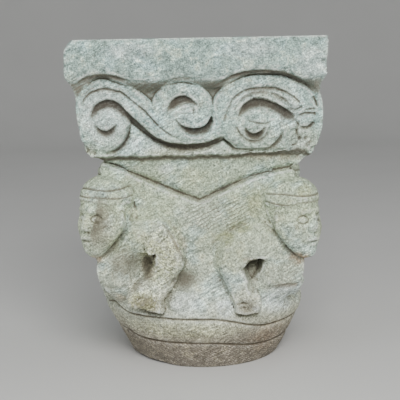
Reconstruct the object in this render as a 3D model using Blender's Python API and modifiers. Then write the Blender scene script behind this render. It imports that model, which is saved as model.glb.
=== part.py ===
"""Romanesque capital: one block of stone, square above and round below.

Under a plain slab runs a frieze of vine scrolls, and four crouching figures carry it on the corners,
each with a head turned outwards on the diagonal and a bent arm on both neighbouring sides. A ring
moulding and a round neck lead down to the shaft. The masses are joined into one skin, the larger
carving is pressed into that skin, and the two beds are cut flat.

Metres, +Z up, origin at the centre of the lower bed. The front looks along -Y.
"""
import math

import bmesh
import bpy
import numpy as np
from mathutils import Matrix, Vector

# ---------------------------------------------------------------- driving sizes
MM = 0.001
HEIGHT = 0.460  # lower bed to upper bed
HALF_WIDTH = 0.1710  # of the slab
BED_MARGIN = 0.012  # stone left past each bed, and cut off flat at the end
SIDES = 4  # the carving is repeated round the four sides
SKIN = 0.0024  # size of the cells in the joined skin
WEAR = 2  # rounds of smoothing that wear the edges down
TRIANGLES = 9400  # faces kept in the finished solid

# Outline of the stone: height, half of the width, and radius of the vertical corner.
# Where the corner radius equals the half width, the section is a circle.
OUTLINE = [
    (-BED_MARGIN, 0.1010, 0.1010),
    (0.000, 0.1085, 0.1085),
    (0.018, 0.1185, 0.1185),
    (0.036, 0.1275, 0.1275),
    (0.054, 0.1368, 0.1368),
    (0.073, 0.1455, 0.1455),
    (0.082, 0.1465, 0.1400),
    (0.092, 0.1425, 0.1220),
    (0.102, 0.1385, 0.0840),
    (0.110, 0.1385, 0.0540),
    (0.119, 0.1420, 0.0380),
    (0.128, 0.1460, 0.0330),
    (0.142, 0.1470, 0.0240),
    (0.165, 0.1475, 0.0180),
    (0.185, 0.1450, 0.0320),
    (0.205, 0.1400, 0.0360),
    (0.245, 0.1310, 0.0300),
    (0.291, 0.1375, 0.0120),
    (0.298, 0.1395, 0.0080),
    (0.303, 0.1430, 0.0060),
    (0.3075, 0.1510, 0.0050),
    (0.316, 0.1555, 0.0050),
    (0.330, 0.1595, 0.0050),
    (0.350, 0.1623, 0.0050),
    (0.368, 0.1638, 0.0050),
    (0.386, 0.1618, 0.0050),
    (0.396, 0.1634, 0.0040),
    (0.411, HALF_WIDTH, 0.0020),
    (HEIGHT + BED_MARGIN, HALF_WIDTH, 0.0020),
]
SECTION_POINTS = 128  # round each section of the stone
SECTION_STEP = 0.006  # most height between two sections
# The stone isn't quite true: height, and how far its middle lies to the right there.
LEAN = [(0.000, 0.0045), (0.020, 0.0060), (0.070, 0.0060), (0.105, 0.0), (0.300, 0.0), (0.345, 0.0040),
        (0.395, 0.0), (0.415, -0.0015), (0.445, -0.0010), (HEIGHT, 0.0)]

# Heads: their middle from the axis along x and y alike, and its height at each corner.
HEAD_OUT = 0.1225
HEAD_HEIGHTS = [0.2235, 0.2185, 0.2210, 0.2225]
# Balls of a head, each a place and a radius, from the head's middle: x across the face, -y out of it.
HEAD = [((0, 0.000, 0.018), 0.0335), ((0, -0.009, 0.012), 0.0325),
        ((-0.0135, -0.018, -0.014), 0.0215), ((0.0135, -0.018, -0.014), 0.0215),
        ((0, -0.027, -0.0385), 0.0165)]
NOSE = [((0, -0.039, 0.004), 0.0040), ((0, -0.043, -0.012), 0.0055), ((0, -0.034, -0.013), 0.0075)]
# Balls with a radius along each axis: the cap of hair and the two ears.
CAP = ((0, -0.003, 0.024), (0.0355, 0.0385, 0.0305))
EARS = [((x, -0.006, 0.000), (0.0055, 0.0080, 0.0130)) for x in (-0.0345, 0.0345)]

# Arms on one side, as hulls of balls: upper arm, forearm and hand of the left and of the right figure.
LEFT_ARM = [[((-0.064, -0.124, 0.199), 0.0210), ((-0.044, -0.129, 0.156), 0.0230)],
            [((-0.046, -0.132, 0.150), 0.0180), ((-0.080, -0.130, 0.117), 0.0175)],
            [((-0.086, -0.131, 0.109), 0.0110), ((-0.064, -0.131, 0.108), 0.0110),
             ((-0.085, -0.131, 0.104), 0.0110), ((-0.064, -0.131, 0.101), 0.0110)]]
RIGHT_ARM = [[((0.088, -0.124, 0.193), 0.0200), ((0.041, -0.129, 0.160), 0.0195)],
             [((0.041, -0.131, 0.151), 0.0180), ((0.063, -0.130, 0.108), 0.0165)],
             [((x, -0.133, z), 0.0095) for x in (0.057, 0.070) for z in (0.093, 0.103)]]

# Frieze: the scrolls keep its face, which leans out from the ledge, right up under the slab.
FRIEZE_LOW, FRIEZE_HIGH = 0.3075, 0.4130
FRIEZE_SHOULDER = 0.386  # above this the corners flare out to the slab
FRIEZE_FADE = (0.158, 0.150)  # across: from nothing at the corner to the whole depth
FRIEZE_END = 0.0015  # height over which the carving ends under the slab
LEDGE_MARGIN = 0.0015  # stone left uncut above and below the ledge's edge

# The sunk ground between the scrolls: its half width, the heights between which it rises to meet the
# slab, and the heights and depths of its hollow over the ledge and of the foot under that hollow.
GROUND = 0.1520
GROUND_RISE = (0.388, 0.411)
HOLLOW_SPAN, HOLLOW_SINK = (0.345, 0.325), 0.0050
FOOT_SPAN, FOOT_RISE = (0.325, 0.309), 0.0030
GROUND_SLOPE = (-1.0, 3.0)  # mm past a scroll's rim, from its top to the ground

# The scrolls that stand up from the sunk ground, in mm: middle across, middle up, half width, half height.
SCROLLS = [(-124, 361, 34, 49), (-20, 369, 39, 34), (88, 362, 69, 51)]
# The stem that swings down between the first two scrolls, in mm: across, up, half of its breadth.
STEM = [(-112, 392, 14), (-95, 383, 16), (-80, 371, 17), (-65, 357, 17), (-50, 344, 15.5),
        (-30, 334, 13.5), (-10, 329, 11.5), (10, 331, 12), (25, 338, 12)]
# Deep grooves, in mm: across, up, half of the breadth, depth.
UNDER_STEM = [(33, 330, 1.5, 3), (22, 324.5, 2.6, 6), (-15, 318, 2.8, 7), (-40, 321.5, 3, 7),
              (-60, 331.5, 3, 7), (-80, 350.5, 2.8, 7), (-103, 373, 3, 7), (-117, 378.5, 3.2, 8),
              (-131, 373, 3.4, 7), (-138, 361, 3.2, 4), (-136.5, 350, 2.5, 2), (-130, 342.5, 2.5, 6),
              (-121, 338.5, 2.6, 7), (-112, 342.5, 2.2, 6), (-107, 348.5, 1.2, 2)]
MIDDLE_EYE = [(-38, 365, 3, 3), (-31, 376, 4, 8), (-20, 382.5, 4, 8), (-8, 380, 3, 7), (1, 371, 1, 1)]
UNDER_MIDDLE = [(-29, 356, 1.2, 2), (-24, 347, 1.8, 5), (-15, 341, 2.5, 7), (0, 338.5, 3, 8),
                (11, 341, 3.5, 8), (18, 349, 3, 5), (21, 358, 2, 2)]
RIGHT_EYE = [(53, 352, 1.5, 1), (55, 360, 2.5, 4), (61, 368, 3, 6), (70, 374, 3.2, 8), (82, 376.5, 3.2, 8),
             (95, 373.5, 3.2, 8), (107, 368, 3.4, 8), (125, 354, 4, 5), (130, 349, 2, 2)]
RIGHT_LIP = [(62, 342, 1.2, 3), (66, 334.5, 2.2, 6), (74, 331, 2.6, 7), (82, 334, 2.2, 6),
             (87, 340.5, 1.4, 3)]
GROOVES = [UNDER_STEM, MIDDLE_EYE, UNDER_MIDDLE, RIGHT_EYE, RIGHT_LIP]

# The V of drapery under the ledge, in mm: across, up. Its panel lies behind the cloth below it.
DRAPERY = [(-142, 298), (-60, 266.5), (2, 241.5), (60, 267), (95, 277.5), (142, 285)]
PANEL_SINK, LEDGE_SINK = 0.0050, 0.0010
PANEL_LOW = 0.235  # no panel below this
PANEL_REACH = 0.132  # across, to where the panel ends beside the corner
PANEL_LIP = (-0.001, 0.0025)  # above the rim: where the panel's step starts and ends
# The sunk field between the arms: height and half width of the stone there.
FIELD = [(0.106, 0.1377), (0.130, 0.1280), (0.165, 0.1210), (0.200, 0.1240), (0.240, 0.1317)]
FIELD_EDGE = (0.094, 0.052)  # across: where the sunk field starts and where it is deepest
FACE_SKIN = 0.006  # how far behind the outline a point still belongs to the face

# Drilled pockets inside the arms: middle across, middle up, half width, half height and depth from the
# arm's outer face.
ARM_FACE = 0.148
POCKETS = [(-0.068, 0.163, 0.0090, 0.0075, 0.040), (0.070, 0.148, 0.0150, 0.0160, 0.042),
           (-0.024, 0.136, 0.0180, 0.0140, 0.031)]

# Corners of the slab that are broken off: the corner, the way the break faces, and its depth.
BROKEN_CORNERS = [((-HALF_WIDTH, -HALF_WIDTH, HEIGHT), (-1.0, -0.15, 1.0), 0.009),
                  ((HALF_WIDTH, -HALF_WIDTH, HEIGHT), (1.0, -0.5, 0.8), 0.005)]

# Ring lines round the neck: height, depth and how far they sink on one side.
RING_LINES = [(0.079, 0.0030, 0.015), (0.040, 0.0032, 0.008)]
RING_BREADTH = 0.0030
RING_SINKS, RING_CLIMBS = (5, 55), (175, 110)  # degrees from the front where a line sinks and comes back


# ---------------------------------------------------------------- small helpers
def smooth_step(low, high, value):
    """0 at low, 1 at high and smooth between them; low may be the larger one."""
    part = np.clip((value - low) / (high - low), 0.0, 1.0)
    return part * part * (3.0 - 2.0 * part)


def curve_through(points, steps=14):
    """A smooth curve through rows of numbers (Catmull-Rom), with the ends kept."""
    rows = np.array(points, float)
    rows = np.vstack([2 * rows[0] - rows[1], rows, 2 * rows[-1] - rows[-2]])
    share = np.linspace(0.0, 1.0, steps, endpoint=False)[:, None]
    runs = []
    for a, b, c, d in zip(rows, rows[1:], rows[2:], rows[3:]):
        runs.append(0.5 * (2 * b + (c - a) * share + (2 * a - 5 * b + 4 * c - d) * share**2
                           + (3 * b - a - 3 * c + d) * share**3))
    return np.vstack(runs + [rows[-2:-1]])


def nearest(across, up, curve):
    """Distance from each place to a curve, and the row of the curve nearest to it."""
    gap = np.hypot(across[:, None] - curve[None, :, 0], up[:, None] - curve[None, :, 1])
    row = gap.argmin(axis=1)
    return gap[np.arange(len(across)), row], curve[row]


def quarter_turn(side):
    """The turn that brings the front to a side, counted anticlockwise from above."""
    return Matrix.Rotation(math.radians(90.0 * side), 4, "Z")


# ---------------------------------------------------------------- masses
def outline_half(height):
    """Half width of the stone at a height."""
    return np.interp(height, *zip(*[row[:2] for row in OUTLINE]))


def outline_corner(height):
    """Radius of the stone's vertical corner at a height."""
    return np.interp(height, *zip(*[row[::2] for row in OUTLINE]))


def field_depth(across, up):
    """How deep the field between the arms is sunk into a side."""
    field = np.interp(up, *zip(*FIELD))
    return np.maximum(outline_half(up) - field, 0.0) * smooth_step(*FIELD_EDGE, np.abs(across))


def section_point(height, angle):
    """A point of the stone's section: a circle below that turns into a square above."""
    half, radius = float(outline_half(height)), float(outline_corner(height))
    along, beside = math.cos(angle), math.sin(angle)
    reach = (half - radius) / max(abs(along), abs(beside)) + radius
    x, y = reach * along, reach * beside
    if FIELD[0][0] < height < FIELD[-1][0]:
        if abs(x) > abs(y):
            x -= math.copysign(float(field_depth(y, height)), x)
        else:
            y -= math.copysign(float(field_depth(x, height)), y)
    return x + float(np.interp(height, *zip(*LEAN))), y, height


def block_levels():
    """Heights of the sections: every bend of the outline, and steps between them."""
    levels = [OUTLINE[0][0]]
    for row in OUTLINE[1:]:
        steps = math.ceil((row[0] - levels[-1]) / SECTION_STEP)
        levels += np.linspace(levels[-1], row[0], steps + 1)[1:].tolist()
    return levels


def add_block(bm):
    """The stone itself: a loft from the round neck to the square slab, section by section."""
    angles = [2 * math.pi * (step + 0.5) / SECTION_POINTS for step in range(SECTION_POINTS)]
    rings = [[bm.verts.new(section_point(level, angle)) for angle in angles] for level in block_levels()]
    for low, high in zip(rings, rings[1:]):
        for step in range(SECTION_POINTS):
            after = (step + 1) % SECTION_POINTS
            bm.faces.new((low[step], low[after], high[after], high[step]))
    bm.faces.new(reversed(rings[0]))
    bm.faces.new(rings[-1])
    bmesh.ops.triangulate(bm, faces=bm.faces)


def add_hull(bm, turn, balls):
    """One rounded mass: the hull round a few balls, each a place and a radius."""
    hull = bmesh.new()
    for place, radius in balls:
        bmesh.ops.create_icosphere(hull, subdivisions=3, radius=radius, matrix=Matrix.Translation(place))
    bmesh.ops.delete(hull, geom=hull.edges[:], context="EDGES_FACES")
    bmesh.ops.convex_hull(hull, input=hull.verts)
    bmesh.ops.delete(hull, geom=[v for v in hull.verts if not v.link_faces], context="VERTS")
    hull.transform(turn)
    add_mesh(bm, hull)


def add_ball(bm, turn, place, radii):
    """A ball with its own radius along each axis."""
    ball = bmesh.new()
    bmesh.ops.create_icosphere(ball, subdivisions=4, radius=1.0)
    ball.transform(turn @ Matrix.Translation(place) @ Matrix.Diagonal((*radii, 1.0)))
    add_mesh(bm, ball)


def add_mesh(bm, other):
    """Move the shapes of one bmesh into another."""
    mesh = bpy.data.meshes.new("moved")
    other.to_mesh(mesh)
    other.free()
    bm.from_mesh(mesh)
    bpy.data.meshes.remove(mesh)


def add_head(bm, side):
    """A head on a corner: x across the face, -y out of it, z up, from the head's middle."""
    place = Vector((-HEAD_OUT, -HEAD_OUT, HEAD_HEIGHTS[side]))
    outwards = Matrix.Rotation(math.radians(-45), 4, "Z")
    turn = quarter_turn(side) @ Matrix.Translation(place) @ outwards
    for balls in (HEAD, NOSE):
        add_hull(bm, turn, balls)
    for middle, radii in (CAP, *EARS):
        add_ball(bm, turn, middle, radii)


def add_arms(bm, side):
    """The two bent arms on one side, from the shoulder over the elbow to the hand on the base."""
    for balls in LEFT_ARM + RIGHT_ARM:
        add_hull(bm, quarter_turn(side), balls)


# ---------------------------------------------------------------- carving
def frieze_depth(across, up):
    """How deep the scrolls, their ground and their grooves are cut into the frieze."""
    x, z = across / MM, up / MM
    outside = np.full(len(x), np.inf)  # distance outside the raised scrolls, in mm
    for middle, height, half_width, half_height in SCROLLS:
        reach = np.hypot((x - middle) / half_width, (z - height) / half_height)
        outside = np.minimum(outside, (reach - 1.0) * min(half_width, half_height))
    gap, row = nearest(x, z, curve_through(STEM))
    outside = np.minimum(outside, gap - row[:, 2])

    plane = outline_half(np.minimum(up, FRIEZE_SHOULDER))
    rise = smooth_step(*GROUND_RISE, up) * (HALF_WIDTH - GROUND)
    foot = smooth_step(*FOOT_SPAN, up) * FOOT_RISE - smooth_step(*HOLLOW_SPAN, up) * HOLLOW_SINK
    ground = np.minimum(GROUND + rise + foot, plane + rise)
    share = smooth_step(*GROUND_SLOPE, outside)
    depth = outline_half(up) - (plane * (1.0 - share) + ground * share)
    for groove in GROOVES:
        gap, row = nearest(x, z, curve_through(groove))
        depth += row[:, 3] * MM * np.exp(-((gap / row[:, 2]) ** 2))
    inside = smooth_step(*FRIEZE_FADE, np.abs(across))
    return depth * inside * smooth_step(FRIEZE_HIGH, FRIEZE_HIGH - FRIEZE_END, up)


def drapery_depth(across, up):
    """How deep the panel lies behind the V of drapery."""
    rim = np.interp(across / MM, *zip(*DRAPERY)) * MM
    share = np.clip((up - rim) / np.maximum(FRIEZE_LOW - rim, MM), 0.0, 1.0)
    sink = PANEL_SINK + (LEDGE_SINK - PANEL_SINK) * share
    return sink * smooth_step(*PANEL_LIP, up - rim)


def carve_side(points, side):
    """Press the carving into the skin of one side, straight in."""
    turn = np.array(quarter_turn(side).to_3x3())
    local = points @ turn
    across, up = local[:, 0], local[:, 2]
    reach = outline_half(up)
    front = (local[:, 1] < -0.5 * reach) & (np.abs(across) < reach)
    on_face = front & (local[:, 1] < -reach + FACE_SKIN)

    frieze = on_face & (up > FRIEZE_LOW + LEDGE_MARGIN) & (up < FRIEZE_HIGH)
    local[frieze, 1] += frieze_depth(across[frieze], up[frieze])
    panel = on_face & (up > PANEL_LOW) & (up < FRIEZE_LOW - LEDGE_MARGIN) & (np.abs(across) < PANEL_REACH)
    local[panel, 1] += drapery_depth(across[panel], up[panel])
    for middle, height, half_width, half_height, depth in POCKETS:
        room = 1.0 - ((across - middle) / half_width) ** 2 - ((up - height) / half_height) ** 2
        bottom = -ARM_FACE + depth * np.sqrt(np.maximum(room, 0.0))
        drilled = front & (room > 0.0)
        local[drilled, 1] = np.maximum(local[drilled, 1], bottom[drilled])
    points[:] = local @ turn.T


def carve_rings(points):
    """Cut the two lines round the neck; they sink towards one side."""
    angle = np.arctan2(points[:, 0], -points[:, 1])
    reach = np.hypot(points[:, 0], points[:, 1])
    sag = smooth_step(*np.radians(RING_SINKS), angle) * smooth_step(*np.radians(RING_CLIMBS), angle)
    for height, depth, sink in RING_LINES:
        line = height - sink * sag
        push = depth * np.exp(-(((points[:, 2] - line) / RING_BREADTH) ** 2))
        points[:, :2] *= (1.0 - push / reach)[:, None]


def knock_off(points, corner, outwards, depth):
    """Break a corner away: what lies past a plane is pressed back onto it."""
    normal = Vector(outwards).normalized()
    past = (points - np.array(corner)) @ np.array(normal) + depth
    points -= np.maximum(past, 0.0)[:, None] * np.array(normal)[None, :]


# ---------------------------------------------------------------- building
def evaluated(obj):
    """The object's mesh with its modifiers applied, as a mesh of its own."""
    graph = bpy.context.evaluated_depsgraph_get()
    return bpy.data.meshes.new_from_object(obj.evaluated_get(graph))


def joined_skin(obj):
    """Join the overlapping masses into one closed skin of small cells."""
    remesh = obj.modifiers.new("one skin", "REMESH")
    remesh.mode = "VOXEL"
    remesh.voxel_size = SKIN
    soften = obj.modifiers.new("worn", "SMOOTH")
    soften.factor = 0.5
    soften.iterations = WEAR
    obj.data = evaluated(obj)
    obj.modifiers.clear()


def carve(obj):
    """Press all the carving into the skin."""
    points = np.empty(len(obj.data.vertices) * 3)
    obj.data.vertices.foreach_get("co", points)
    points = points.reshape(-1, 3)
    for side in range(SIDES):
        carve_side(points, side)
    carve_rings(points)
    for corner, outwards, depth in BROKEN_CORNERS:
        knock_off(points, corner, outwards, depth)
    obj.data.vertices.foreach_set("co", points.ravel())


def thin_out(obj):
    """Keep only as many faces as the shape needs."""
    obj.data.calc_loop_triangles()
    fewer = obj.modifiers.new("fewer faces", "DECIMATE")
    fewer.ratio = TRIANGLES / len(obj.data.loop_triangles)
    obj.data = evaluated(obj)
    obj.modifiers.clear()


def cut_beds(obj):
    """Cut the lower and upper beds flat and close them."""
    bm = bmesh.new()
    bm.from_mesh(obj.data)
    for height, normal in ((0.0, (0, 0, -1)), (HEIGHT, (0, 0, 1))):
        geometry = bm.verts[:] + bm.edges[:] + bm.faces[:]
        cut = bmesh.ops.bisect_plane(bm, geom=geometry, dist=1e-6, plane_co=(0, 0, height),
                                     plane_no=normal, clear_outer=True)
        rim = [item for item in cut["geom_cut"] if isinstance(item, bmesh.types.BMEdge)]
        bmesh.ops.contextual_create(bm, geom=rim)
    bmesh.ops.dissolve_degenerate(bm, dist=0.0001, edges=bm.edges)
    bmesh.ops.recalc_face_normals(bm, faces=bm.faces)
    bm.to_mesh(obj.data)
    bm.free()


def stone_material():
    """Pale grey limestone."""
    material = bpy.data.materials.new("stone")
    material.use_nodes = True
    shader = material.node_tree.nodes["Principled BSDF"]
    shader.inputs["Base Color"].default_value = (0.40, 0.42, 0.37, 1.0)
    shader.inputs["Roughness"].default_value = 0.9
    shader.inputs["Metallic"].default_value = 0.0
    return material


def capital():
    """The whole stone, as one object."""
    mesh = bpy.data.meshes.new("capital")
    obj = bpy.data.objects.new("capital", mesh)
    stone = bpy.data.collections.new("romanesque_capital")
    bpy.context.scene.collection.children.link(stone)
    stone.objects.link(obj)

    bm = bmesh.new()
    add_block(bm)
    for side in range(SIDES):
        add_head(bm, side)
        add_arms(bm, side)
    bm.to_mesh(mesh)
    bm.free()

    joined_skin(obj)
    carve(obj)
    thin_out(obj)
    cut_beds(obj)
    obj.data.materials.clear()
    obj.data.materials.append(stone_material())
    obj.data.shade_smooth()
    obj.data.set_sharp_from_angle(angle=math.radians(40))
    return obj


for old in list(bpy.data.objects):
    bpy.data.objects.remove(old)
capital()
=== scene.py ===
# %% [markdown]
# # A romanesque capital
#
# A capital is the stone between a round shaft and the square load above it. This one is carved from a
# single block: a plain slab, a frieze of vine scrolls, crouching figures that carry the frieze on the four
# corners, and a round neck. The lesson builds it as a mason would: rough masses first, joined into one
# skin, then the carving, then the small losses of eight centuries, and at last the look of old limestone.
#
# The measured solid comes in first. Its box gives the height and the width that everything below uses.

# %% Load the measured stone
import math

import bmesh
import bpy
import numpy as np
from mathutils import Matrix, Vector, noise


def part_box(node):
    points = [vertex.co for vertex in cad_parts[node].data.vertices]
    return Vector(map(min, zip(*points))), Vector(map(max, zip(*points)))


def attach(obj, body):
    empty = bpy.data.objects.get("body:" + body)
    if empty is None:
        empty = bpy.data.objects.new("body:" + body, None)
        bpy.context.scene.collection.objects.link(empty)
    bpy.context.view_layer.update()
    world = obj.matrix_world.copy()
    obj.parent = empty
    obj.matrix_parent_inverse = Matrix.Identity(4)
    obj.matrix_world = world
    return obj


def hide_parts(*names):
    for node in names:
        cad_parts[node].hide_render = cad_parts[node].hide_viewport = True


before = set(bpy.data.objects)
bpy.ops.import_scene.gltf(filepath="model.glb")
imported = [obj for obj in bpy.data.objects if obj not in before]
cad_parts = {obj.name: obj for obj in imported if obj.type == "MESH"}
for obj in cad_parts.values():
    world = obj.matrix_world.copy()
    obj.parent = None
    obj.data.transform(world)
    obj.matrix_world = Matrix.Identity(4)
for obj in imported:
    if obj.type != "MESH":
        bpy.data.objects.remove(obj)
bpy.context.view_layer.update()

MM = 0.001
low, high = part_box("capital")
HEIGHT = high.z
HALF_WIDTH = (high.y - low.y) / 2
print(f"stone: {2 * HALF_WIDTH / MM:.1f} mm wide, {HEIGHT / MM:.1f} mm high")

# %% [markdown]
# ## The block
#
# The stone is round where it meets the shaft and square where it meets the slab. Such a loft could be drawn
# face by face, but it is easier to start from a circle, extrude its rim upwards, and then move every vertex
# to where its section has it. A section needs only two numbers: half of its width and the radius of its
# corners. When both are equal the section is a circle, and with a small radius it is a square.

# %% Sections of the block
OUTLINE = [  # height, half width and corner radius, in mm
    (0, 108, 108), (18, 117.8, 117.8), (36, 126.5, 126.5), (54, 135.8, 135.8), (73, 145, 145),
    (82, 146.5, 140), (92, 142.5, 122), (102, 138.5, 84), (110, 138.5, 54), (119, 142, 38), (128, 146, 33),
    (142, 147, 24), (165, 147.5, 18), (185, 145, 32), (205, 140, 36), (225, 134.5, 33), (245, 131, 30),
    (291, 137.5, 12), (298, 139.5, 8), (303, 143, 6), (307.5, 151, 5), (316, 155.5, 5), (330, 159.5, 5),
    (350, 162.3, 5), (368, 163.8, 5), (386, 161.8, 5), (396, 163.4, 4), (411, HALF_WIDTH / MM, 2),
    (HEIGHT / MM, HALF_WIDTH / MM, 2),
]
FIELD = [(106, 137.7), (130, 128.0), (165, 121.0), (200, 124.0), (240, 131.7)]  # between the arms
FIELD_EDGE = (94, 52)  # mm from the middle where the sunk field begins and where it is deepest
LEAN = [(0, 5.0), (20, 6.0), (70, 5.0), (105, 0.0), (288, 0.0), (296, 6.0), (303, 8.0), (309, 2.0),
        (325, 3.5), (345, 4.0), (365, 2.6), (395, 0.0), (415, -1.5), (445, -1.0), (460, 0.0)]  # height, shift
UNDER_ARMS = [(-68, 150, 50, 50, 32.0), (76, 140, 22, 42, 13.0)]  # hollows: place, half sizes and sink
ROUND = 192  # points round a section
STEP = 5.0  # mm between sections, at most


def smooth_step(start, end, value):
    """0 at start, 1 at end, and smooth between them."""
    part = np.clip((value - start) / (end - start), 0.0, 1.0)
    return part * part * (3.0 - 2.0 * part)


def column(rows, number, height):
    """Read one column of a table at a height."""
    return np.interp(height, [row[0] for row in rows], [row[number] for row in rows])


def ellipse(x, z, middle, height, half_width, half_height):
    """0 in the middle of an ellipse, 1 on its rim, and more outside."""
    return np.hypot((x - middle) / half_width, (z - height) / half_height)


def field_depth(x, z):
    """How deep the field between the arms and the chests beside it are sunk into a side, in mm."""
    sink = np.maximum(column(OUTLINE, 1, z) - column(FIELD, 1, z), 0.0)
    inside = (z > FIELD[0][0]) & (z < FIELD[-1][0])
    field = sink * smooth_step(*FIELD_EDGE, np.abs(x)) * inside
    chests = [depth * smooth_step(1.0, 0.0, ellipse(x, z, *place)) for *place, depth in UNDER_ARMS]
    return np.maximum(field, sum(chests))


def section_point(angle, z):
    """Where a section of the block has its point at an angle, in mm."""
    half, radius = float(column(OUTLINE, 1, z)), float(column(OUTLINE, 2, z))
    along, beside = math.cos(angle), math.sin(angle)
    reach = (half - radius) / max(abs(along), abs(beside)) + radius
    x, y = reach * along, reach * beside
    if abs(x) > abs(y):
        x -= math.copysign(float(field_depth(y, z)), x)
    else:
        y -= math.copysign(float(field_depth(x, z)), y)
    return x + float(column(LEAN, 1, z)), y, z


def add_block(bm):
    """Extrude a circle up through every section, then move its points into place."""
    heights = [OUTLINE[0][0]]
    for row in OUTLINE[1:]:
        parts = math.ceil((row[0] - heights[-1]) / STEP)
        heights += np.linspace(heights[-1], row[0], parts + 1)[1:].tolist()
    bmesh.ops.create_circle(bm, segments=ROUND, radius=1.0)
    rim = bm.edges[:]
    bmesh.ops.contextual_create(bm, geom=rim)
    for below, above in zip(heights, heights[1:]):
        grown = bmesh.ops.extrude_edge_only(bm, edges=rim)["geom"]
        ring = {item for item in grown if isinstance(item, bmesh.types.BMVert)}
        edges = [item for item in grown if isinstance(item, bmesh.types.BMEdge)]
        rim = [edge for edge in edges if ring.issuperset(edge.verts)]
        bmesh.ops.translate(bm, verts=list(ring), vec=(0, 0, above - below))
    bmesh.ops.contextual_create(bm, geom=rim)
    for vert in bm.verts:
        vert.co = Vector(section_point(math.atan2(vert.co.y, vert.co.x), vert.co.z)) * MM
    bmesh.ops.recalc_face_normals(bm, faces=bm.faces)
    bmesh.ops.triangulate(bm, faces=bm.faces)


masses = bmesh.new()
add_block(masses)
print("block:", len(masses.verts), "points")

# %% [markdown]
# ## Rounded and flat masses
#
# Heads are soft, bulging forms. A carver blocks them out as a few rounded lumps that run into each other. Two
# helpers do the same: one wraps a skin round several balls, which gives a tapered limb or a skull, and one
# makes a single ball with its own radius along each axis. Arms are flatter, because the carver left the old
# face of the block on them. For those a third helper wraps a skin round an outline that is small at the face
# and wider at the ground, so that a flat face with slanting flanks stands out of the stone.

# %% Helpers for the masses
FLAT_EDGE = 3.0  # radius of a flat mass's edges, mm
FLAT_ROOT = 112.0  # mm from the axis to the root of a flat mass, inside the stone


def quarter_turn(side):
    """The turn that brings the front to a side, counted anticlockwise from above."""
    return Matrix.Rotation(math.radians(90 * side), 4, "Z")


def join_in(bm, other):
    """Move the shapes of one bmesh into another."""
    mesh = bpy.data.meshes.new("moved")
    other.to_mesh(mesh)
    other.free()
    bm.from_mesh(mesh)
    bpy.data.meshes.remove(mesh)


def add_hull(bm, turn, balls):
    """One rounded mass: the skin round a few balls, each a place and a radius in mm."""
    hull = bmesh.new()
    for place, radius in balls:
        centre = Matrix.Translation(Vector(place) * MM)
        bmesh.ops.create_icosphere(hull, subdivisions=3, radius=radius * MM, matrix=centre)
    bmesh.ops.delete(hull, geom=hull.edges[:], context="EDGES_FACES")
    bmesh.ops.convex_hull(hull, input=hull.verts)
    bmesh.ops.delete(hull, geom=[v for v in hull.verts if not v.link_faces], context="VERTS")
    hull.transform(turn)
    join_in(bm, hull)


def add_ball(bm, turn, place, radii):
    """A ball with its own radius along each axis, in mm."""
    ball = bmesh.new()
    bmesh.ops.create_icosphere(ball, subdivisions=4, radius=MM)
    ball.transform(turn @ Matrix.Translation(Vector(place) * MM) @ Matrix.Diagonal((*radii, 1.0)))
    join_in(bm, ball)


def add_flat(bm, turn, corners, flare, aside=0.0):
    """A flat-faced mass: corners are across, up and out from the axis. Its root is wider and lies aside."""
    middle = Vector([sum(corner[axis] for corner in corners) / len(corners) for axis in (0, 1)])
    balls = []
    for across, up, out in corners:
        wider = (Vector((across, up)) - middle).normalized() * flare
        balls.append(((across, FLAT_EDGE - out, up), FLAT_EDGE))
        balls.append(((across + wider.x + aside, -FLAT_ROOT, up + wider.y), FLAT_EDGE))
    add_hull(bm, turn, balls)


print("helpers ready")

# %% [markdown]
# ## Heads on the corners
#
# Each corner has a head that looks out along the diagonal. The head is planned in its own frame: x across
# the face, -y out of it and z up, counted in mm from its middle. The proportions are those of any drawing
# book: the eyes at half of the height, the end of the nose halfway from there to the chin, and the mouth a
# third of the way down from the nose. The skull, cheeks and chin are one hull. Nose, lips, eyeballs, cap and
# ears are smaller masses set into it, and the eyelids and the hair are cut later, when the skin is one.

# %% Model the heads
HEAD_OUT = 122.5  # mm from the axis to a head's middle, along x and along y
HEAD_HEIGHTS = [223.5, 217.5, 221.0, 222.5]
SKULL = [
    ((0, 0, 18), 33.5), ((0, -9, 12), 32.5), ((-13.5, -18, -14), 21.5), ((13.5, -18, -14), 21.5),
    ((0, -27, -38.5), 16.5),
]
CAP = ((0, -3, 24), (35.5, 38.5, 30.5))
EARS = [((x, -8, 0), (5.5, 8.0, 14.0)) for x in (-34.5, 34.5)]
BROW = [((-19, -32.5, 10.5), 4.5), ((-8, -39, 11.5), 4.5), ((8, -39, 11.5), 4.5), ((19, -32.5, 10.5), 4.5)]
NOSE = [((0, -40, 9), 3.6), ((0, -46, -11.5), 4.6), ((-3.8, -41, -13.5), 4.0), ((3.8, -41, -13.5), 4.0)]
MUZZLE = [((-6.5, -37, -27), 8.5), ((6.5, -37, -27), 8.5), ((0, -35.5, -43), 8.5)]
UPPER_LIP = [((-8, -42, -27), 2.0), ((0, -45, -26), 2.4), ((8, -42, -27), 2.0)]
LOWER_LIP = [((-6.5, -42.5, -32.5), 2.4), ((0, -44.5, -33), 2.8), ((6.5, -42.5, -32.5), 2.4)]


def head_turn(corner):
    """From a head's own frame to the stone's; corner counts the heads like the sides."""
    place = Vector((-HEAD_OUT, -HEAD_OUT, HEAD_HEIGHTS[corner])) * MM
    outwards = Matrix.Rotation(math.radians(-45), 4, "Z")
    return quarter_turn(corner) @ Matrix.Translation(place) @ outwards


for corner in range(4):
    for balls in (SKULL, BROW, NOSE, MUZZLE, UPPER_LIP, LOWER_LIP):
        add_hull(masses, head_turn(corner), balls)
    for place, radii in (CAP, *EARS):
        add_ball(masses, head_turn(corner), place, radii)
print("with heads:", len(masses.verts), "points")

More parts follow.
